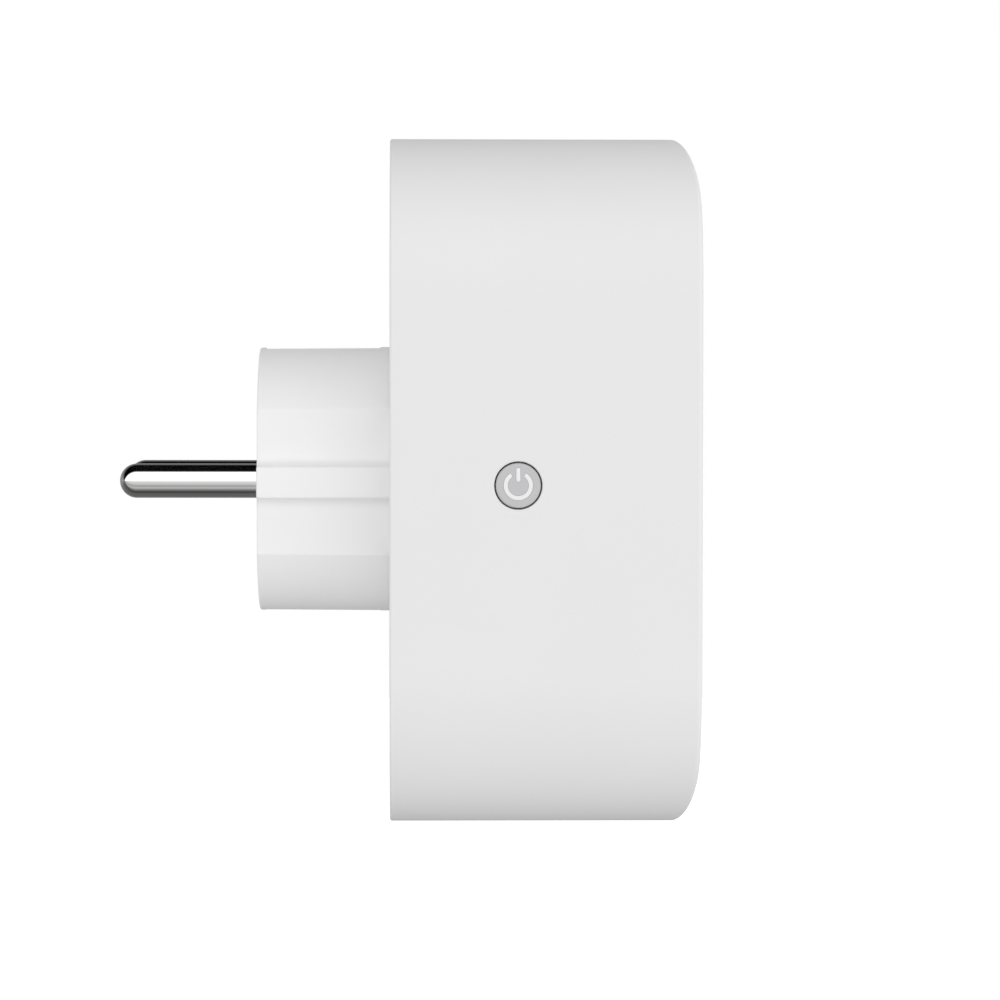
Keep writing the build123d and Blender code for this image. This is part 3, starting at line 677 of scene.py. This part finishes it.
# ---- operators ----
class SMARTPLUG_OT_finishes(bpy.types.Operator):
    """Make the shared shader groups and every material"""
    bl_idname = "smartplug.finishes"
    bl_label = "Finishes"

    def execute(self, context):
        for make in (moulded_grain, turned_lines, handling_dust, rolled_sheet, printed_tracks):
            GROUPS[make.__name__] = make()
        housing, plug = context.scene.smartplug_housing, context.scene.smartplug_plug
        outlet, button = context.scene.smartplug_outlet, context.scene.smartplug_button
        plastic("shell_white", housing.tint, (0.42, 0.50), dust=0.02)
        plastic("plug_white", plug.tint, (0.32, 0.42), 4200.0, 0.008)
        plastic("dish_white", outlet.tint, (0.32, 0.42), 4200.0, 0.008)
        plastic("button_grey", button.tint, (0.35, 0.45), 5200.0, 0.006)
        plastic("window_white", button.window, (0.15, 0.22), 6000.0, 0.003)
        plastic("shutter_grey", (0.42, 0.42, 0.43), (0.35, 0.5))
        plastic("carrier_white", (0.70, 0.70, 0.68), (0.4, 0.5))
        plastic("relay_black", (0.020, 0.020, 0.022), (0.3, 0.45), dust=0.2)
        plastic("core_dark", (0.055, 0.052, 0.050), (0.5, 0.7), 2400.0, 0.03, 0.15)
        plastic("capacitor_sleeve", (0.03, 0.06, 0.12), (0.22, 0.35))
        plastic("film_yellow", (0.78, 0.56, 0.10), (0.3, 0.45), spread=0.05)
        plastic("varistor_blue", (0.04, 0.16, 0.42), (0.25, 0.4), 2000.0, 0.02)
        plastic("chip_black", (0.025, 0.025, 0.027), (0.5, 0.65), 5000.0)
        plastic("led_clear", (0.85, 0.84, 0.70), (0.1, 0.2), 3000.0, 0.003)
        plated("pin_nickel", plug.plating, (0.05, 0.11), 9000.0, 0.001)
        plated("screw_steel", (0.62, 0.61, 0.58), (0.22, 0.36), 6000.0, 0.004)
        sheet_metal("clip_steel", (0.70, 0.69, 0.66), (0.58, 0.57, 0.54))
        sheet_metal("contact_brass", (0.80, 0.58, 0.26), (0.62, 0.42, 0.18))
        sheet_metal("shield_tin", (0.66, 0.66, 0.65), (0.55, 0.55, 0.54))
        circuit_board("board_green", (0.012, 0.10, 0.045), (0.03, 0.20, 0.09))
        return {"FINISHED"}


def nose_reach(height, front, depth, rise, top):
    """How far out the front is at a height: flat in the middle, and at each end a quarter ellipse,
    front - depth + depth * sqrt(1 - t * t), with t from 0 to 1 over the rise."""
    t = np.clip((np.abs(height) - (top - rise)) / rise, 0, 1)
    return front - depth + depth * np.sqrt(1 - t * t)


def nose_edge(places, front, depth, rise, top, radius):
    """For places in Y and Z on the outline inset by radius: how far out the centre of a ball of
    that radius is when it touches the front, and the front's outward direction where it does."""
    angle = np.linspace(0, math.pi / 2, 800)
    out_x, out_z = np.cos(angle) / depth, np.sin(angle) / rise
    size = np.hypot(out_x, out_z)
    out_x, out_z = out_x / size, out_z / size
    ball_z = top - rise + rise * np.sin(angle) - radius * out_z
    ball_x = front - depth + depth * np.cos(angle) - radius * out_x
    height = np.abs(places[:, 1])
    side = np.sign(places[:, 1])
    x = np.interp(height, ball_z, ball_x)
    rise_z = np.interp(height, ball_z, out_z) * side
    directions = np.column_stack([np.interp(height, ball_z, out_x), np.zeros(len(places)), rise_z])
    return x, directions / np.linalg.norm(directions, axis=1, keepdims=True)


class SMARTPLUG_OT_front_cover(bpy.types.Operator):
    """Tall rounded shell with a rolled front, the outlet's opening, screw posts and button collar"""
    bl_idname = "smartplug.front_cover"
    bl_label = "Front cover"

    def execute(self, context):
        s = context.scene.smartplug_housing
        outlet = context.scene.smartplug_outlet
        button = context.scene.smartplug_button
        centre, direction = rounded_rectangle(HALF_Y, HALF_Z, s.corner)
        opening = outlet.radius + OUTLET_WALL + s.seam
        inner_x = FRONT_X - s.wall
        quarter = np.linspace(0, math.pi / 2, 7)

        def outline(inset):
            return centre + direction * (s.corner - inset)

        nose = (FRONT_X, s.nose_depth, s.nose_rise, HALF_Z)
        inner_nose = (inner_x, s.nose_depth - s.wall / 4, s.nose_rise - s.wall, HALF_Z - s.wall)
        ball = outline(s.front_edge)
        ball_x, nose_out = nose_edge(ball, *nose, s.front_edge)
        wall_out = np.column_stack([np.zeros(len(ball)), direction])
        start_x = REAR_X + s.rear_edge

        rows = [ring(REAR_X, outline(s.rim))]
        rows += [ring(start_x - s.rear_edge * math.cos(a), outline(s.rear_edge * (1 - math.sin(a))))
                 for a in quarter]
        rows += [ring(start_x + (ball_x - start_x) * share, outline(0.0))
                 for share in np.linspace(0, 1, 26)[1:-1]]
        rows += [ring(ball_x, ball) + s.front_edge * blend_directions(wall_out, nose_out, share)
                 for share in np.linspace(0, 1, 9)]
        edge = rows[-1][:, 1:]
        hole = circle(opening + s.seam * 2, edge)
        for share in (np.linspace(0, 1, 36) ** 2)[1:]:
            places = edge * (1 - share) + hole * share
            rows.append(ring(nose_reach(places[:, 1], *nose), places))
        rows += [ring(FRONT_X - 2 * s.seam * (1 - math.cos(a)),
                      circle(opening + 2 * s.seam * (1 - math.sin(a)), edge)) for a in quarter[1:]]
        far = outline(s.wall)
        for share in np.linspace(0, 1, 12) ** 0.6:
            places = circle(opening, edge) * (1 - share) + far * share
            rows.append(ring(nose_reach(places[:, 1], *inner_nose), places))
        rows += [ring(LEDGE_X, far), ring(LEDGE_X, outline(s.rim))]
        shell = new_object("front_cover_shell", [lofted(rows, wrap=True)])

        post_foot = BOARD_HIGH.x
        post_r, bore_r, edge = 3.6 * MM, 1.45 * MM, 0.3 * MM
        bore = post_foot + 14 * MM
        tubes = []
        for y, z in corners(SCREW_Y, SCREW_Z):
            end = float(nose_reach(z, *inner_nose)) + 0.2 * MM
            tubes.append(turned([
                (end, 0), (end, post_r), (post_foot + edge, post_r), (post_foot, post_r - edge),
                (post_foot, bore_r + edge), (post_foot + edge, bore_r), (bore, bore_r),
                (bore + 0.8 * MM, 0)], (0, y, z)))
        wall_y = -HALF_Y + s.wall
        collar = rod(wall_y - 1.2 * MM, wall_y + 2.6 * MM, BUTTON_COLLAR_R, BUTTON_X, 0, axis="Y")
        lip = 0.22 * MM
        reach = button.radius + 0.2 * MM
        mouth = [(-HALF_Y + lip * (1 - math.sin(a)), reach + lip * (1 - math.cos(a)))
                 for a in quarter]
        flange = BUTTON_FLANGE_R + 0.05 * MM
        hollow = turned([
            (wall_y + 3 * MM, 0), (wall_y + 3 * MM, flange), (wall_y, flange), (wall_y, reach),
            *mouth, (-HALF_Y - PAST, reach + lip), (-HALF_Y - PAST, 0)], (BUTTON_X, 0, 0), "Y")
        worked(shell, [("UNION", tubes + [collar]), ("DIFFERENCE", [hollow])])
        finished(shell, "housing", "shell_white", ["front_cover"])
        return {"FINISHED"}


class SMARTPLUG_OT_rear_cover(bpy.types.Operator):
    """Flat cover in the rear rebate, with screw wells, board bosses and the plug's hole"""
    bl_idname = "smartplug.rear_cover"
    bl_label = "Rear cover"

    def execute(self, context):
        s = context.scene.smartplug_housing
        plug = context.scene.smartplug_plug
        centre, direction = rounded_rectangle(HALF_Y, HALF_Z, s.corner)
        edge, quarter = 0.3 * MM, np.linspace(0, math.pi / 2, 5)
        rim = s.rim + s.seam
        opening = plug.root_radius + s.seam

        def outline(inset):
            return centre + direction * (s.corner - rim - inset)

        near = outline(edge)
        hole = circle(opening + edge, near)
        eases = [(edge * (1 - math.sin(a)), edge * (1 - math.cos(a))) for a in quarter]
        rows = [ring(REAR_X + depth, circle(opening + inset, near)) for depth, inset in eases]
        rows += [ring(REAR_X, hole * (1 - share) + near * share)
                 for share in np.linspace(0, 1, 12)[1:-1]]
        rows += [ring(REAR_X + depth, outline(inset)) for inset, depth in eases]
        rows += [ring(LEDGE_X, outline(0.0)), ring(LEDGE_X, circle(opening, near))]
        cover = new_object("rear_cover_plate", [lofted(rows, wrap=True)])

        seat, edge, shank_r = REAR_X + SCREW_SINK, 0.2 * MM, 1.6 * MM
        well = [(REAR_X - PAST, 0), (REAR_X - PAST, WELL_R + edge), (REAR_X, WELL_R + edge),
                (REAR_X + edge, WELL_R), (seat, WELL_R), (seat, shank_r),
                (BOARD_LOW.x + PAST, shank_r), (BOARD_LOW.x + PAST, 0)]
        places = corners(SCREW_Y, SCREW_Z)
        bosses = [rod(LEDGE_X - 0.6 * MM, BOARD_LOW.x, 3.9 * MM, y, z) for y, z in places]
        wells = [turned(well, (0, y, z)) for y, z in places]
        worked(cover, [("UNION", bosses), ("DIFFERENCE", wells)])
        finished(cover, "housing", "shell_white", ["rear_cover"])
        return {"FINISHED"}


class SMARTPLUG_OT_screws(bpy.types.Operator):
    """Four cap screws with hexagon sockets, seen in the rear cover's wells"""
    bl_idname = "smartplug.screws"
    bl_label = "Case screws"

    def execute(self, context):
        head, seat = SCREWS_LOW.x, SCREWS_LOW.x + 2.0 * MM
        tip = SCREWS_HIGH.x
        thread = np.linspace(seat + 1 * MM, tip - 1.2 * MM, 56)
        wave = 1.36 * MM + 0.09 * MM * np.cos((thread - seat) * 2 * math.pi / (0.6 * MM))
        key = 1.3 * MM
        profile = [(head + key, 0, 0), (head + 1.15 * MM, key, 1), (head + 0.12 * MM, key, 1),
                   (head, 1.45 * MM, 1), (head, 2.55 * MM, 0), (head + 0.08 * MM, 2.74 * MM, 0),
                   (head + 0.3 * MM, 2.8 * MM, 0), (seat - 0.1 * MM, 2.8 * MM, 0),
                   (seat, 2.7 * MM, 0), (seat, 1.45 * MM, 0), (seat + 0.9 * MM, 1.45 * MM, 0)]
        profile += [(x, r, 0) for x, r in zip(thread, wave)]
        profile += [(tip - 0.6 * MM, 1.1 * MM, 0), (tip, 0.5 * MM, 0), (tip, 0, 0)]
        surfaces = [turned(profile, (0, y, z), steps=48, sides=6)
                    for y, z in corners(SCREW_Y, SCREW_Z)]
        screws = new_object("case_screws_turned", surfaces)
        finished(screws, "housing", "screw_steel", ["case_screws"])
        return {"FINISHED"}


def plug_section(radius, flat, rib_reach, rib_half, rib_root):
    """Outline of the plug's body in Y and Z: a circle cut by two flats, with a raised rib on each.
    The circle is sampled between the flats, the corners of flats and ribs are eased, and a hollow
    of radius rib_root joins each rib to its flat."""
    chord = math.sqrt(radius * radius - flat * flat)
    top = math.acos(flat / radius)
    sweep = np.linspace(top, math.pi - top, 62)[1:-1]
    arc = np.column_stack([np.cos(sweep), np.sin(sweep)]) * radius
    sharp, soft = [0.0] * len(arc), 0.35 * MM
    left = [(-flat, chord), (-flat, rib_half), (-rib_reach, rib_half), (-rib_reach, -rib_half),
            (-flat, -rib_half), (-flat, -chord)]
    turn = [soft * 0.7, rib_root, soft, soft, rib_root, soft * 0.7]
    right = [(-y, -z) for y, z in left]
    outline = np.concatenate([arc, left, -arc, right])
    return eased(outline, sharp + turn + sharp + turn, 8, closed=True)


class SMARTPLUG_OT_plug_body(bpy.types.Operator):
    """Drafted round plug body with flats, guide ribs, strip grooves and the earth hole"""
    bl_idname = "smartplug.plug_body"
    bl_label = "Plug body"

    def execute(self, context):
        s = context.scene.smartplug_plug
        face, root = (plug_section(radius, s.flat, RIB_REACH, s.rib_half, s.rib_root)
                      for radius in (s.face_radius, s.root_radius))
        inward = inward_of(face)
        quarter = np.linspace(0, math.pi / 2, 6)
        rows = [ring(0, face * share) for share in (0.0, 0.4, 0.8)]
        rows += [ring(s.face_edge * (1 - math.cos(a)),
                      face + inward * s.face_edge * (1 - math.sin(a))) for a in quarter]
        for share in np.linspace(0, 1, 12)[1:]:
            x = s.face_edge + (REAR_X - s.face_edge) * share
            rows.append(ring(x, face * (1 - x / REAR_X) + root * (x / REAR_X)))
        disc = circle(s.root_radius, root)
        flange = circle(PLUG_FLANGE_R, root)
        end = PLUG_HIGH.x
        size = np.linalg.norm(face, axis=1)
        beside = PLUG_BORE_Y * size / np.maximum(np.abs(face[:, 0]), 1e-6)
        reach = np.minimum(PLUG_BORE_R, beside)
        bore = face / size[:, None] * reach[:, None]
        rows += [ring(REAR_X, disc), ring(LEDGE_X, disc), ring(LEDGE_X, flange), ring(end, flange),
                 ring(end, bore), ring(PLUG_FACE_T, bore), ring(PLUG_FACE_T, bore * 0.0)]
        body = new_object("plug_body_moulding", [lofted(rows)])

        inside, half, bevel = PLUG_FACE_T + PAST, STRIP_WIDTH / 2, 0.4 * MM
        holes = [rod(-PAST, inside, PIN_NECK_R, side * s.pin_spread, 0) for side in (-1, 1)]
        holes.append(turned([(-PAST, 0), (-PAST, EARTH_HOLE_R + bevel), (0, EARTH_HOLE_R + bevel),
                             (bevel, EARTH_HOLE_R), (inside, EARTH_HOLE_R), (inside, 0)],
                            (0, 0, s.earth_height)))
        grooves, slots = [], []
        for side in (-1, 1):
            low, high = sorted((side * STRIP_GROOVE_Z, side * 20 * MM))
            grooves.append(brick(STRIP_T, EARTH_TURN[1], -half, half, low, high))
            low, high = sorted((side * 12 * MM, side * 17.8 * MM))
            slots.append(brick(*EARTH_TURN, -half, half, low, high))
        places = corners(LUG_AT, LUG_AT)
        lugs = [rod(LEDGE_X, end, LUG_R, y, z) for y, z in places]
        lug_bores = [rod(LEDGE_X - PAST, end + PAST, LUG_BORE_R, y, z) for y, z in places]
        worked(body, [("UNION", lugs), ("DIFFERENCE", holes), ("DIFFERENCE", grooves),
                      ("DIFFERENCE", slots), ("DIFFERENCE", lug_bores)])
        finished(body, "housing", "plug_white", ["plug_body"])
        return {"FINISHED"}


class SMARTPLUG_OT_pins(bpy.types.Operator):
    """Two solid round pins with ball ends, turned and plated"""
    bl_idname = "smartplug.pins"
    bl_label = "Pins"

    def execute(self, context):
        s = context.scene.smartplug_plug
        tip, radius = PIN_LOW.x, s.pin_radius
        angle = np.linspace(0, math.pi / 2, 20)
        ball = np.column_stack([tip + radius * (1 - np.cos(angle)), radius * np.sin(angle)])
        shaft = [(x, radius) for x in np.linspace(tip + radius, -0.06 * MM, 14)[1:]]
        behind, neck = PLUG_FACE_T + 2 * MM, PIN_NECK_R
        tail = [(0, radius - 0.06 * MM), (0, neck), (PLUG_FACE_T, neck), (PLUG_FACE_T, PIN_COLLAR_R),
                (behind, PIN_COLLAR_R), (behind, neck), (PIN_HIGH.x, neck), (PIN_HIGH.x, 0)]
        profile = np.concatenate([ball, shaft, tail])
        for name, side in (("pin_live", -1), ("pin_neutral", 1)):
            surface = turned(profile, (0, side * s.pin_spread, 0), steps=96)
            piece = new_object(f"{name}_turned", [surface])
            finished(piece, "housing", "pin_nickel", [name])
        return {"FINISHED"}


class SMARTPLUG_OT_earth_clips(bpy.types.Operator):
    """Bent earth strips: one in the plug's grooves and one with sprung arms in the outlet"""
    bl_idname = "smartplug.earth_clips"
    bl_label = "Earth clips"

    def execute(self, context):
        arm_z = CLIP_HIGH.z - STRIP_T / 2
        bridge_x = CLIP_HIGH.x - STRIP_T / 2
        start = CLIP_LOW.x
        path = eased([(start, arm_z), (bridge_x, arm_z), (bridge_x, -arm_z), (start, -arm_z)],
                     [0, 0.9 * MM, 0.9 * MM, 0])
        piece = new_object("plug_earth_strip", [strip(path, STRIP_WIDTH, STRIP_T)])
        finished(piece, "housing", "clip_steel", ["plug_earth_clip"])

        outlet = context.scene.smartplug_outlet
        reach = outlet.radius + OUTLET_WALL - 0.9 * MM
        bridge_x = OUTLET_CLIP_LOW.x + STRIP_T / 2
        arm = np.array([(bridge_x, 0), (bridge_x, reach), (FLOOR_X + 0.8 * MM, reach),
                        (FLOOR_X + 9.0 * MM, 18.0 * MM), (FLOOR_X + 13.4 * MM, 20.2 * MM)])
        arm = eased(arm, [1.6 * MM] * len(arm), 8)
        path = np.concatenate([(arm * (1, -1))[:0:-1], arm])
        piece = new_object("outlet_earth_strip", [strip(path, STRIP_WIDTH, STRIP_T)])
        finished(piece, "housing", "clip_steel", ["outlet_earth_clip"])
        return {"FINISHED"}


class SMARTPLUG_OT_outlet(bpy.types.Operator):
    """Round recess with an eased mouth, pin holes, guides and slots for the earth clips"""
    bl_idname = "smartplug.outlet"
    bl_label = "Outlet"

    def execute(self, context):
        s = context.scene.smartplug_outlet
        plug = context.scene.smartplug_plug
        wall_r, back = s.radius + OUTLET_WALL, DISH_LOW.x
        flange_x, flange_r = FRONT_X - 2.2 * MM, DISH_HIGH.y
        flange_back = flange_x - 1.4 * MM
        profile = eased(
            [(back, 0), (back, wall_r), (flange_back, wall_r), (flange_back, flange_r),
             (flange_x, flange_r), (flange_x, wall_r), (FRONT_X, wall_r), (FRONT_X, s.radius),
             (FLOOR_X, s.radius), (FLOOR_X, 0)],
            [0, 0.3 * MM, 0.1 * MM, 0.2 * MM, 0.2 * MM, 0.05 * MM, 0.2 * MM, s.mouth, 0.6 * MM, 0], 8)
        dish = new_object("outlet_recess", [turned(profile, (0, 0, 0), steps=160)])

        guides, cuts, slots = [], [], []
        start, mouth, lead = back - PAST, s.hole + 0.55 * MM, 1.2 * MM
        screw_y, screw_z = CARRIER_SCREWS
        for side in (-1, 1):
            low, high = FLOOR_X - 0.5 * MM, FRONT_X - 3.0 * MM
            near, far = side * s.guide_reach, side * (s.radius + 0.8 * MM)
            outline = eased([(low, near), (high - lead, near), (high, near + side * lead),
                             (high, far), (low, far)],
                            [0.35 * MM, 0.5 * MM, 0.4 * MM, 0.35 * MM, 0.35 * MM], 5, closed=True)
            guides.append(extruded(outline, -s.guide_half, s.guide_half, "Z", 0.3 * MM))
            hole = [(start, 0), (start, s.hole), (FLOOR_X - 0.6 * MM, s.hole),
                    (FLOOR_X - 0.3 * MM, s.hole + 0.15 * MM), (FLOOR_X, mouth),
                    (FLOOR_X + PAST, mouth), (FLOOR_X + PAST, 0)]
            cuts.append(turned(hole, (0, side * plug.pin_spread, 0)))
            cuts.append(rod(start, FLOOR_X - 0.5 * MM, 0.9 * MM, side * screw_y, screw_z))
            low, high = sorted((side * 17.0 * MM, side * (wall_r + 3 * MM)))
            slots.append(brick(start, FRONT_X - 2.4 * MM, -OUTLET_SLOT_HALF, OUTLET_SLOT_HALF,
                               low, high))
        worked(dish, [("UNION", guides), ("DIFFERENCE", cuts), ("DIFFERENCE", slots)])
        finished(dish, "housing", "dish_white", ["outlet_dish"])
        return {"FINISHED"}


class SMARTPLUG_OT_shutter_spring(bpy.types.Operator):
    """Coil above the shutter, which closes up towards the shutter as the shutter rises"""
    # Coil of round wire above the shutter, built at one fixed length
    bl_idname = "smartplug.shutter_spring"
    bl_label = "Shutter spring"

    def execute(self, context):
        s = context.scene.smartplug_outlet
        low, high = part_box("shutter_spring")
        wire = s.spring_wire / 2
        middle = (low + high) / 2
        radius = (high.y - low.y) / 2 - wire
        spring = new_object("shutter_coil", [
            coil(radius, wire, s.spring_turns, (middle.x, middle.y), low.z + wire, high.z - wire)])
        finished(spring, "shutter", "clip_steel", ["shutter_spring"])
        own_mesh(spring)
        return {"FINISHED"}


class SMARTPLUG_OT_button(bpy.types.Operator):
    """Round side button with a flange and stem, and the light window let into its face"""
    bl_idname = "smartplug.button"
    bl_label = "Button"

    def execute(self, context):
        s = context.scene.smartplug_button
        face, stem_end = CAP_LOW.y, CAP_HIGH.y
        wall_y = -HALF_Y + context.scene.smartplug_housing.wall
        centre = (BUTTON_X, 0, 0)
        stop, back = wall_y + 0.03 * MM, wall_y + 1 * MM
        profile = eased(
            [(face + 0.04 * MM, 0), (face, s.radius), (stop, s.radius), (stop, BUTTON_FLANGE_R),
             (back, BUTTON_FLANGE_R), (back, STEM_R), (stem_end, STEM_R), (stem_end, 0)],
            [0, 0.28 * MM, 0.05 * MM, 0.1 * MM, 0.1 * MM, 0.1 * MM, 0.2 * MM, 0], 7)
        cap = new_object("button_moulding", [turned(profile, centre, "Y", 96)])

        def window(grow, out, edge):
            """The open ring and the bar above it, from the button's face inwards."""
            half = s.line / 2 + grow
            ends = (math.radians(122) - grow / s.ring, math.radians(418) + grow / s.ring)
            low, high = face - out, face + 0.5 * MM + grow
            foot, tip = 0.5 * MM - grow, 2.4 * MM + grow
            bar = eased([(foot, BUTTON_X - half), (tip, BUTTON_X - half), (tip, BUTTON_X + half),
                         (foot, BUTTON_X + half)], [half * 0.5] * 4, 5, closed=True)
            open_ring = swept_arc(s.ring, half, low, high, ends, edge)
            return [open_ring, extruded(bar, low, high, "Y", edge)]

        cut = window(0.02 * MM, 0.3 * MM, 0.0)
        worked(cap, [("DIFFERENCE", cut)])
        finished(cap, "button", "button_grey", ["button_cap"])
        sign = new_object("button_window", window(0.0, 0.0, 0.06 * MM))
        finished(sign, "button", "window_white", ["button_symbol"])
        return {"FINISHED"}


class SMARTPLUG_OT_inner_finishes(bpy.types.Operator):
    """Give each piece of the frame that stays in view or inside its finish"""
    bl_idname = "smartplug.inner_finishes"
    bl_label = "Inner pieces"

    def execute(self, context):
        slots = {part["node"]: part["material_slot"] for part in frame["record"]["subparts"]}
        for node, piece in frame["nodes"].items():
            piece.data.materials.clear()
            piece.data.materials.append(FINISHES[slots[node]])
        return {"FINISHED"}


class SMARTPLUG_OT_stage(bpy.types.Operator):
    """Place the floor, the soft light all round and the camera"""
    bl_idname = "smartplug.stage"
    bl_label = "Stage"

    # light by height above level, every 15 degrees from straight down to straight up
    RISE = (1.05, 0.85, 0.54, 0.45, 1.02, 1.71, 1.73, 1.05, 0.52, 0.64, 0.97, 1.19)
    # share of that light lost straight behind the plug, where the wall would be
    DIM_BEHIND = 0.3
    # gloss light by angle round the X axis, from level on the button's side
    BANDS = ((-180, 0.3), (-140, 0.16), (-124, 0.12), (-100, 0.12), (-80, 0.045), (-64, 0.19),
             (-48, 0.52), (-36, 0.42), (-34, 0.12), (-31, 0.5), (-20, 0.6), (-7, 0.72), (4, 1.2),
             (60, 1.25), (65, 0.3), (69, 0.0), (125, 0.0), (150, 0.2), (180, 0.3))
    BRIGHTEST = 1.85
    FLOOR_HALF = 1.5
    FLOOR_CELLS = 24

    def execute(self, context):
        s = context.scene.smartplug_stage
        self.light(context)
        level, count = CAD_BOX[0].z - s.drop, self.FLOOR_CELLS + 1
        across = np.linspace(-self.FLOOR_HALF, self.FLOOR_HALF, count)
        x, y = np.meshgrid(across, across)
        points = np.column_stack([x.ravel(), y.ravel(), np.full(x.size, level)])
        i = np.arange(count - 1)[:, None] * count + np.arange(count - 1)[None, :]
        quads = np.stack([i, i + 1, i + 1 + count, i + count], -1).reshape(-1, 4)
        mesh = bpy.data.meshes.new("floor")
        mesh.from_pydata(points.tolist(), [], quads.tolist())
        floor = bpy.data.objects.new("floor", mesh)
        context.scene.collection.objects.link(floor)
        floor.visible_diffuse = False
        floor.visible_glossy = False
        tree, shader = new_material("pale_floor", roughness=0.9, specular=0.0)
        worn = used(tree, "handling_dust", scale=8.0)
        wired(tree, shader,
              Base_Color=mixed(tree, worn.outputs["Mask"], s.floor, shaded(s.floor, 0.985)))
        shader.inputs["Emission Color"].default_value = (1, 1, 1, 1)
        shader.inputs["Emission Strength"].default_value = 0.6
        mesh.materials.append(FINISHES["pale_floor"])

        target = Vector((34.0 * MM, 0.0, -3.02 * MM))
        back = Vector((math.sin(s.azimuth) * math.cos(s.elevation),
                       -math.cos(s.azimuth) * math.cos(s.elevation), math.sin(s.elevation)))
        right = Vector((0, 0, 1)).cross(back).normalized()
        up = back.cross(right)
        right = right * math.cos(s.roll) + up * math.sin(s.roll)
        up = back.cross(right)
        camera = bpy.data.cameras.new("camera")
        camera.lens = s.lens
        camera.sensor_width = 36.0
        camera.clip_start = 0.01
        holder = bpy.data.objects.new("camera", camera)
        turn = Matrix((right, up, back)).transposed()
        holder.matrix_world = Matrix.Translation(target + back * s.distance) @ turn.to_4x4()
        context.scene.collection.objects.link(holder)
        context.scene.camera = holder
        context.scene.view_settings.view_transform = "Standard"
        return {"FINISHED"}

    def light(self, context):
        """World light: bands by height, dimmer behind the plug, for matt surfaces, bands round the
        X axis for gloss, and white behind the object."""
        world = bpy.data.worlds.new("studio")
        world.use_nodes = True
        tree = world.node_tree
        tree.nodes.clear()
        way = placed(tree, "ShaderNodeSeparateXYZ", {
            "Vector": placed(tree, "ShaderNodeTexCoord").outputs["Generated"]})
        height = placed(tree, "ShaderNodeMath", {0: way.outputs["Z"]}, operation="ARCSINE").outputs[0]
        away = maths(tree, way.outputs["Y"], -1.0)
        angle = maths(tree, way.outputs["Z"], away, "ARCTAN2")
        centres = [(-82.5 + 15 * k, value) for k, value in enumerate(self.RISE)]
        behind = maths(tree, way.outputs["X"], 0.0, "MINIMUM")
        kept = maths(tree, maths(tree, behind, self.DIM_BEHIND), 1.0, "ADD")
        matt = mixed(tree, kept, (0, 0, 0), self.ramp(tree, height, centres, 90))
        gloss = self.ramp(tree, angle, self.BANDS, 180)
        path = placed(tree, "ShaderNodeLightPath")
        light = mixed(tree, path.outputs["Is Glossy Ray"], matt, gloss)
        soft = placed(tree, "ShaderNodeBackground", {"Color": light, "Strength": self.BRIGHTEST})
        white = placed(tree, "ShaderNodeBackground", {"Color": (1, 1, 1, 1), "Strength": 1.0})
        both = placed(tree, "ShaderNodeMixShader", {
            0: path.outputs["Is Camera Ray"], 1: soft.outputs[0], 2: white.outputs[0]})
        placed(tree, "ShaderNodeOutputWorld", {"Surface": both.outputs[0]})
        context.scene.world = world

    def ramp(self, tree, angle, stops, reach):
        """Grey ramp over an angle in radians, from stops in degrees."""
        limit = math.radians(reach)
        share = placed(tree, "ShaderNodeMapRange", {
            "Value": angle, "From Min": -limit, "From Max": limit}).outputs["Result"]
        ramp = placed(tree, "ShaderNodeValToRGB", {"Fac": share})
        elements = ramp.color_ramp.elements
        while len(elements) < len(stops):
            elements.new(0.5)
        for element, (degrees, value) in zip(elements, stops):
            element.position = (degrees / reach + 1) / 2
        for element, (degrees, value) in zip(elements, stops):
            grey = value / self.BRIGHTEST
            element.color = (grey, grey, grey, 1.0)
        return ramp.outputs["Color"]


class SMARTPLUG_PT_panel(bpy.types.Panel):
    """Sizes, colours and build steps of the smart plug"""
    bl_label = "Smart plug"
    bl_idname = "SMARTPLUG_PT_panel"
    bl_space_type = "VIEW_3D"
    bl_region_type = "UI"
    bl_category = "Smart plug"

    def draw(self, context):
        for kind, name in SETTINGS.items():
            box = self.layout.box()
            for prop in kind.__annotations__:
                box.prop(getattr(context.scene, name), prop)
        for step in STEPS:
            self.layout.operator(step.bl_idname)


SETTINGS = {
    HousingSettings: "smartplug_housing",
    PlugSettings: "smartplug_plug",
    OutletSettings: "smartplug_outlet",
    ButtonSettings: "smartplug_button",
    StageSettings: "smartplug_stage",
}
STEPS = (
    SMARTPLUG_OT_finishes, SMARTPLUG_OT_stage, SMARTPLUG_OT_inner_finishes, SMARTPLUG_OT_front_cover,
    SMARTPLUG_OT_rear_cover, SMARTPLUG_OT_screws, SMARTPLUG_OT_plug_body, SMARTPLUG_OT_pins,
    SMARTPLUG_OT_earth_clips, SMARTPLUG_OT_outlet, SMARTPLUG_OT_shutter_spring,
    SMARTPLUG_OT_button,
)


def register():
    for kind, name in SETTINGS.items():
        bpy.utils.register_class(kind)
        setattr(bpy.types.Scene, name, PointerProperty(type=kind))
    for kind in (*STEPS, SMARTPLUG_PT_panel):
        bpy.utils.register_class(kind)


def unregister():
    for kind in (SMARTPLUG_PT_panel, *reversed(STEPS)):
        bpy.utils.unregister_class(kind)
    for kind, name in SETTINGS.items():
        delattr(bpy.types.Scene, name)
        bpy.utils.unregister_class(kind)


def main():
    register()
    for step in STEPS:
        family, name = step.bl_idname.split(".")
        getattr(getattr(bpy.ops, family), name)()


if __name__ == "__main__":
    main()
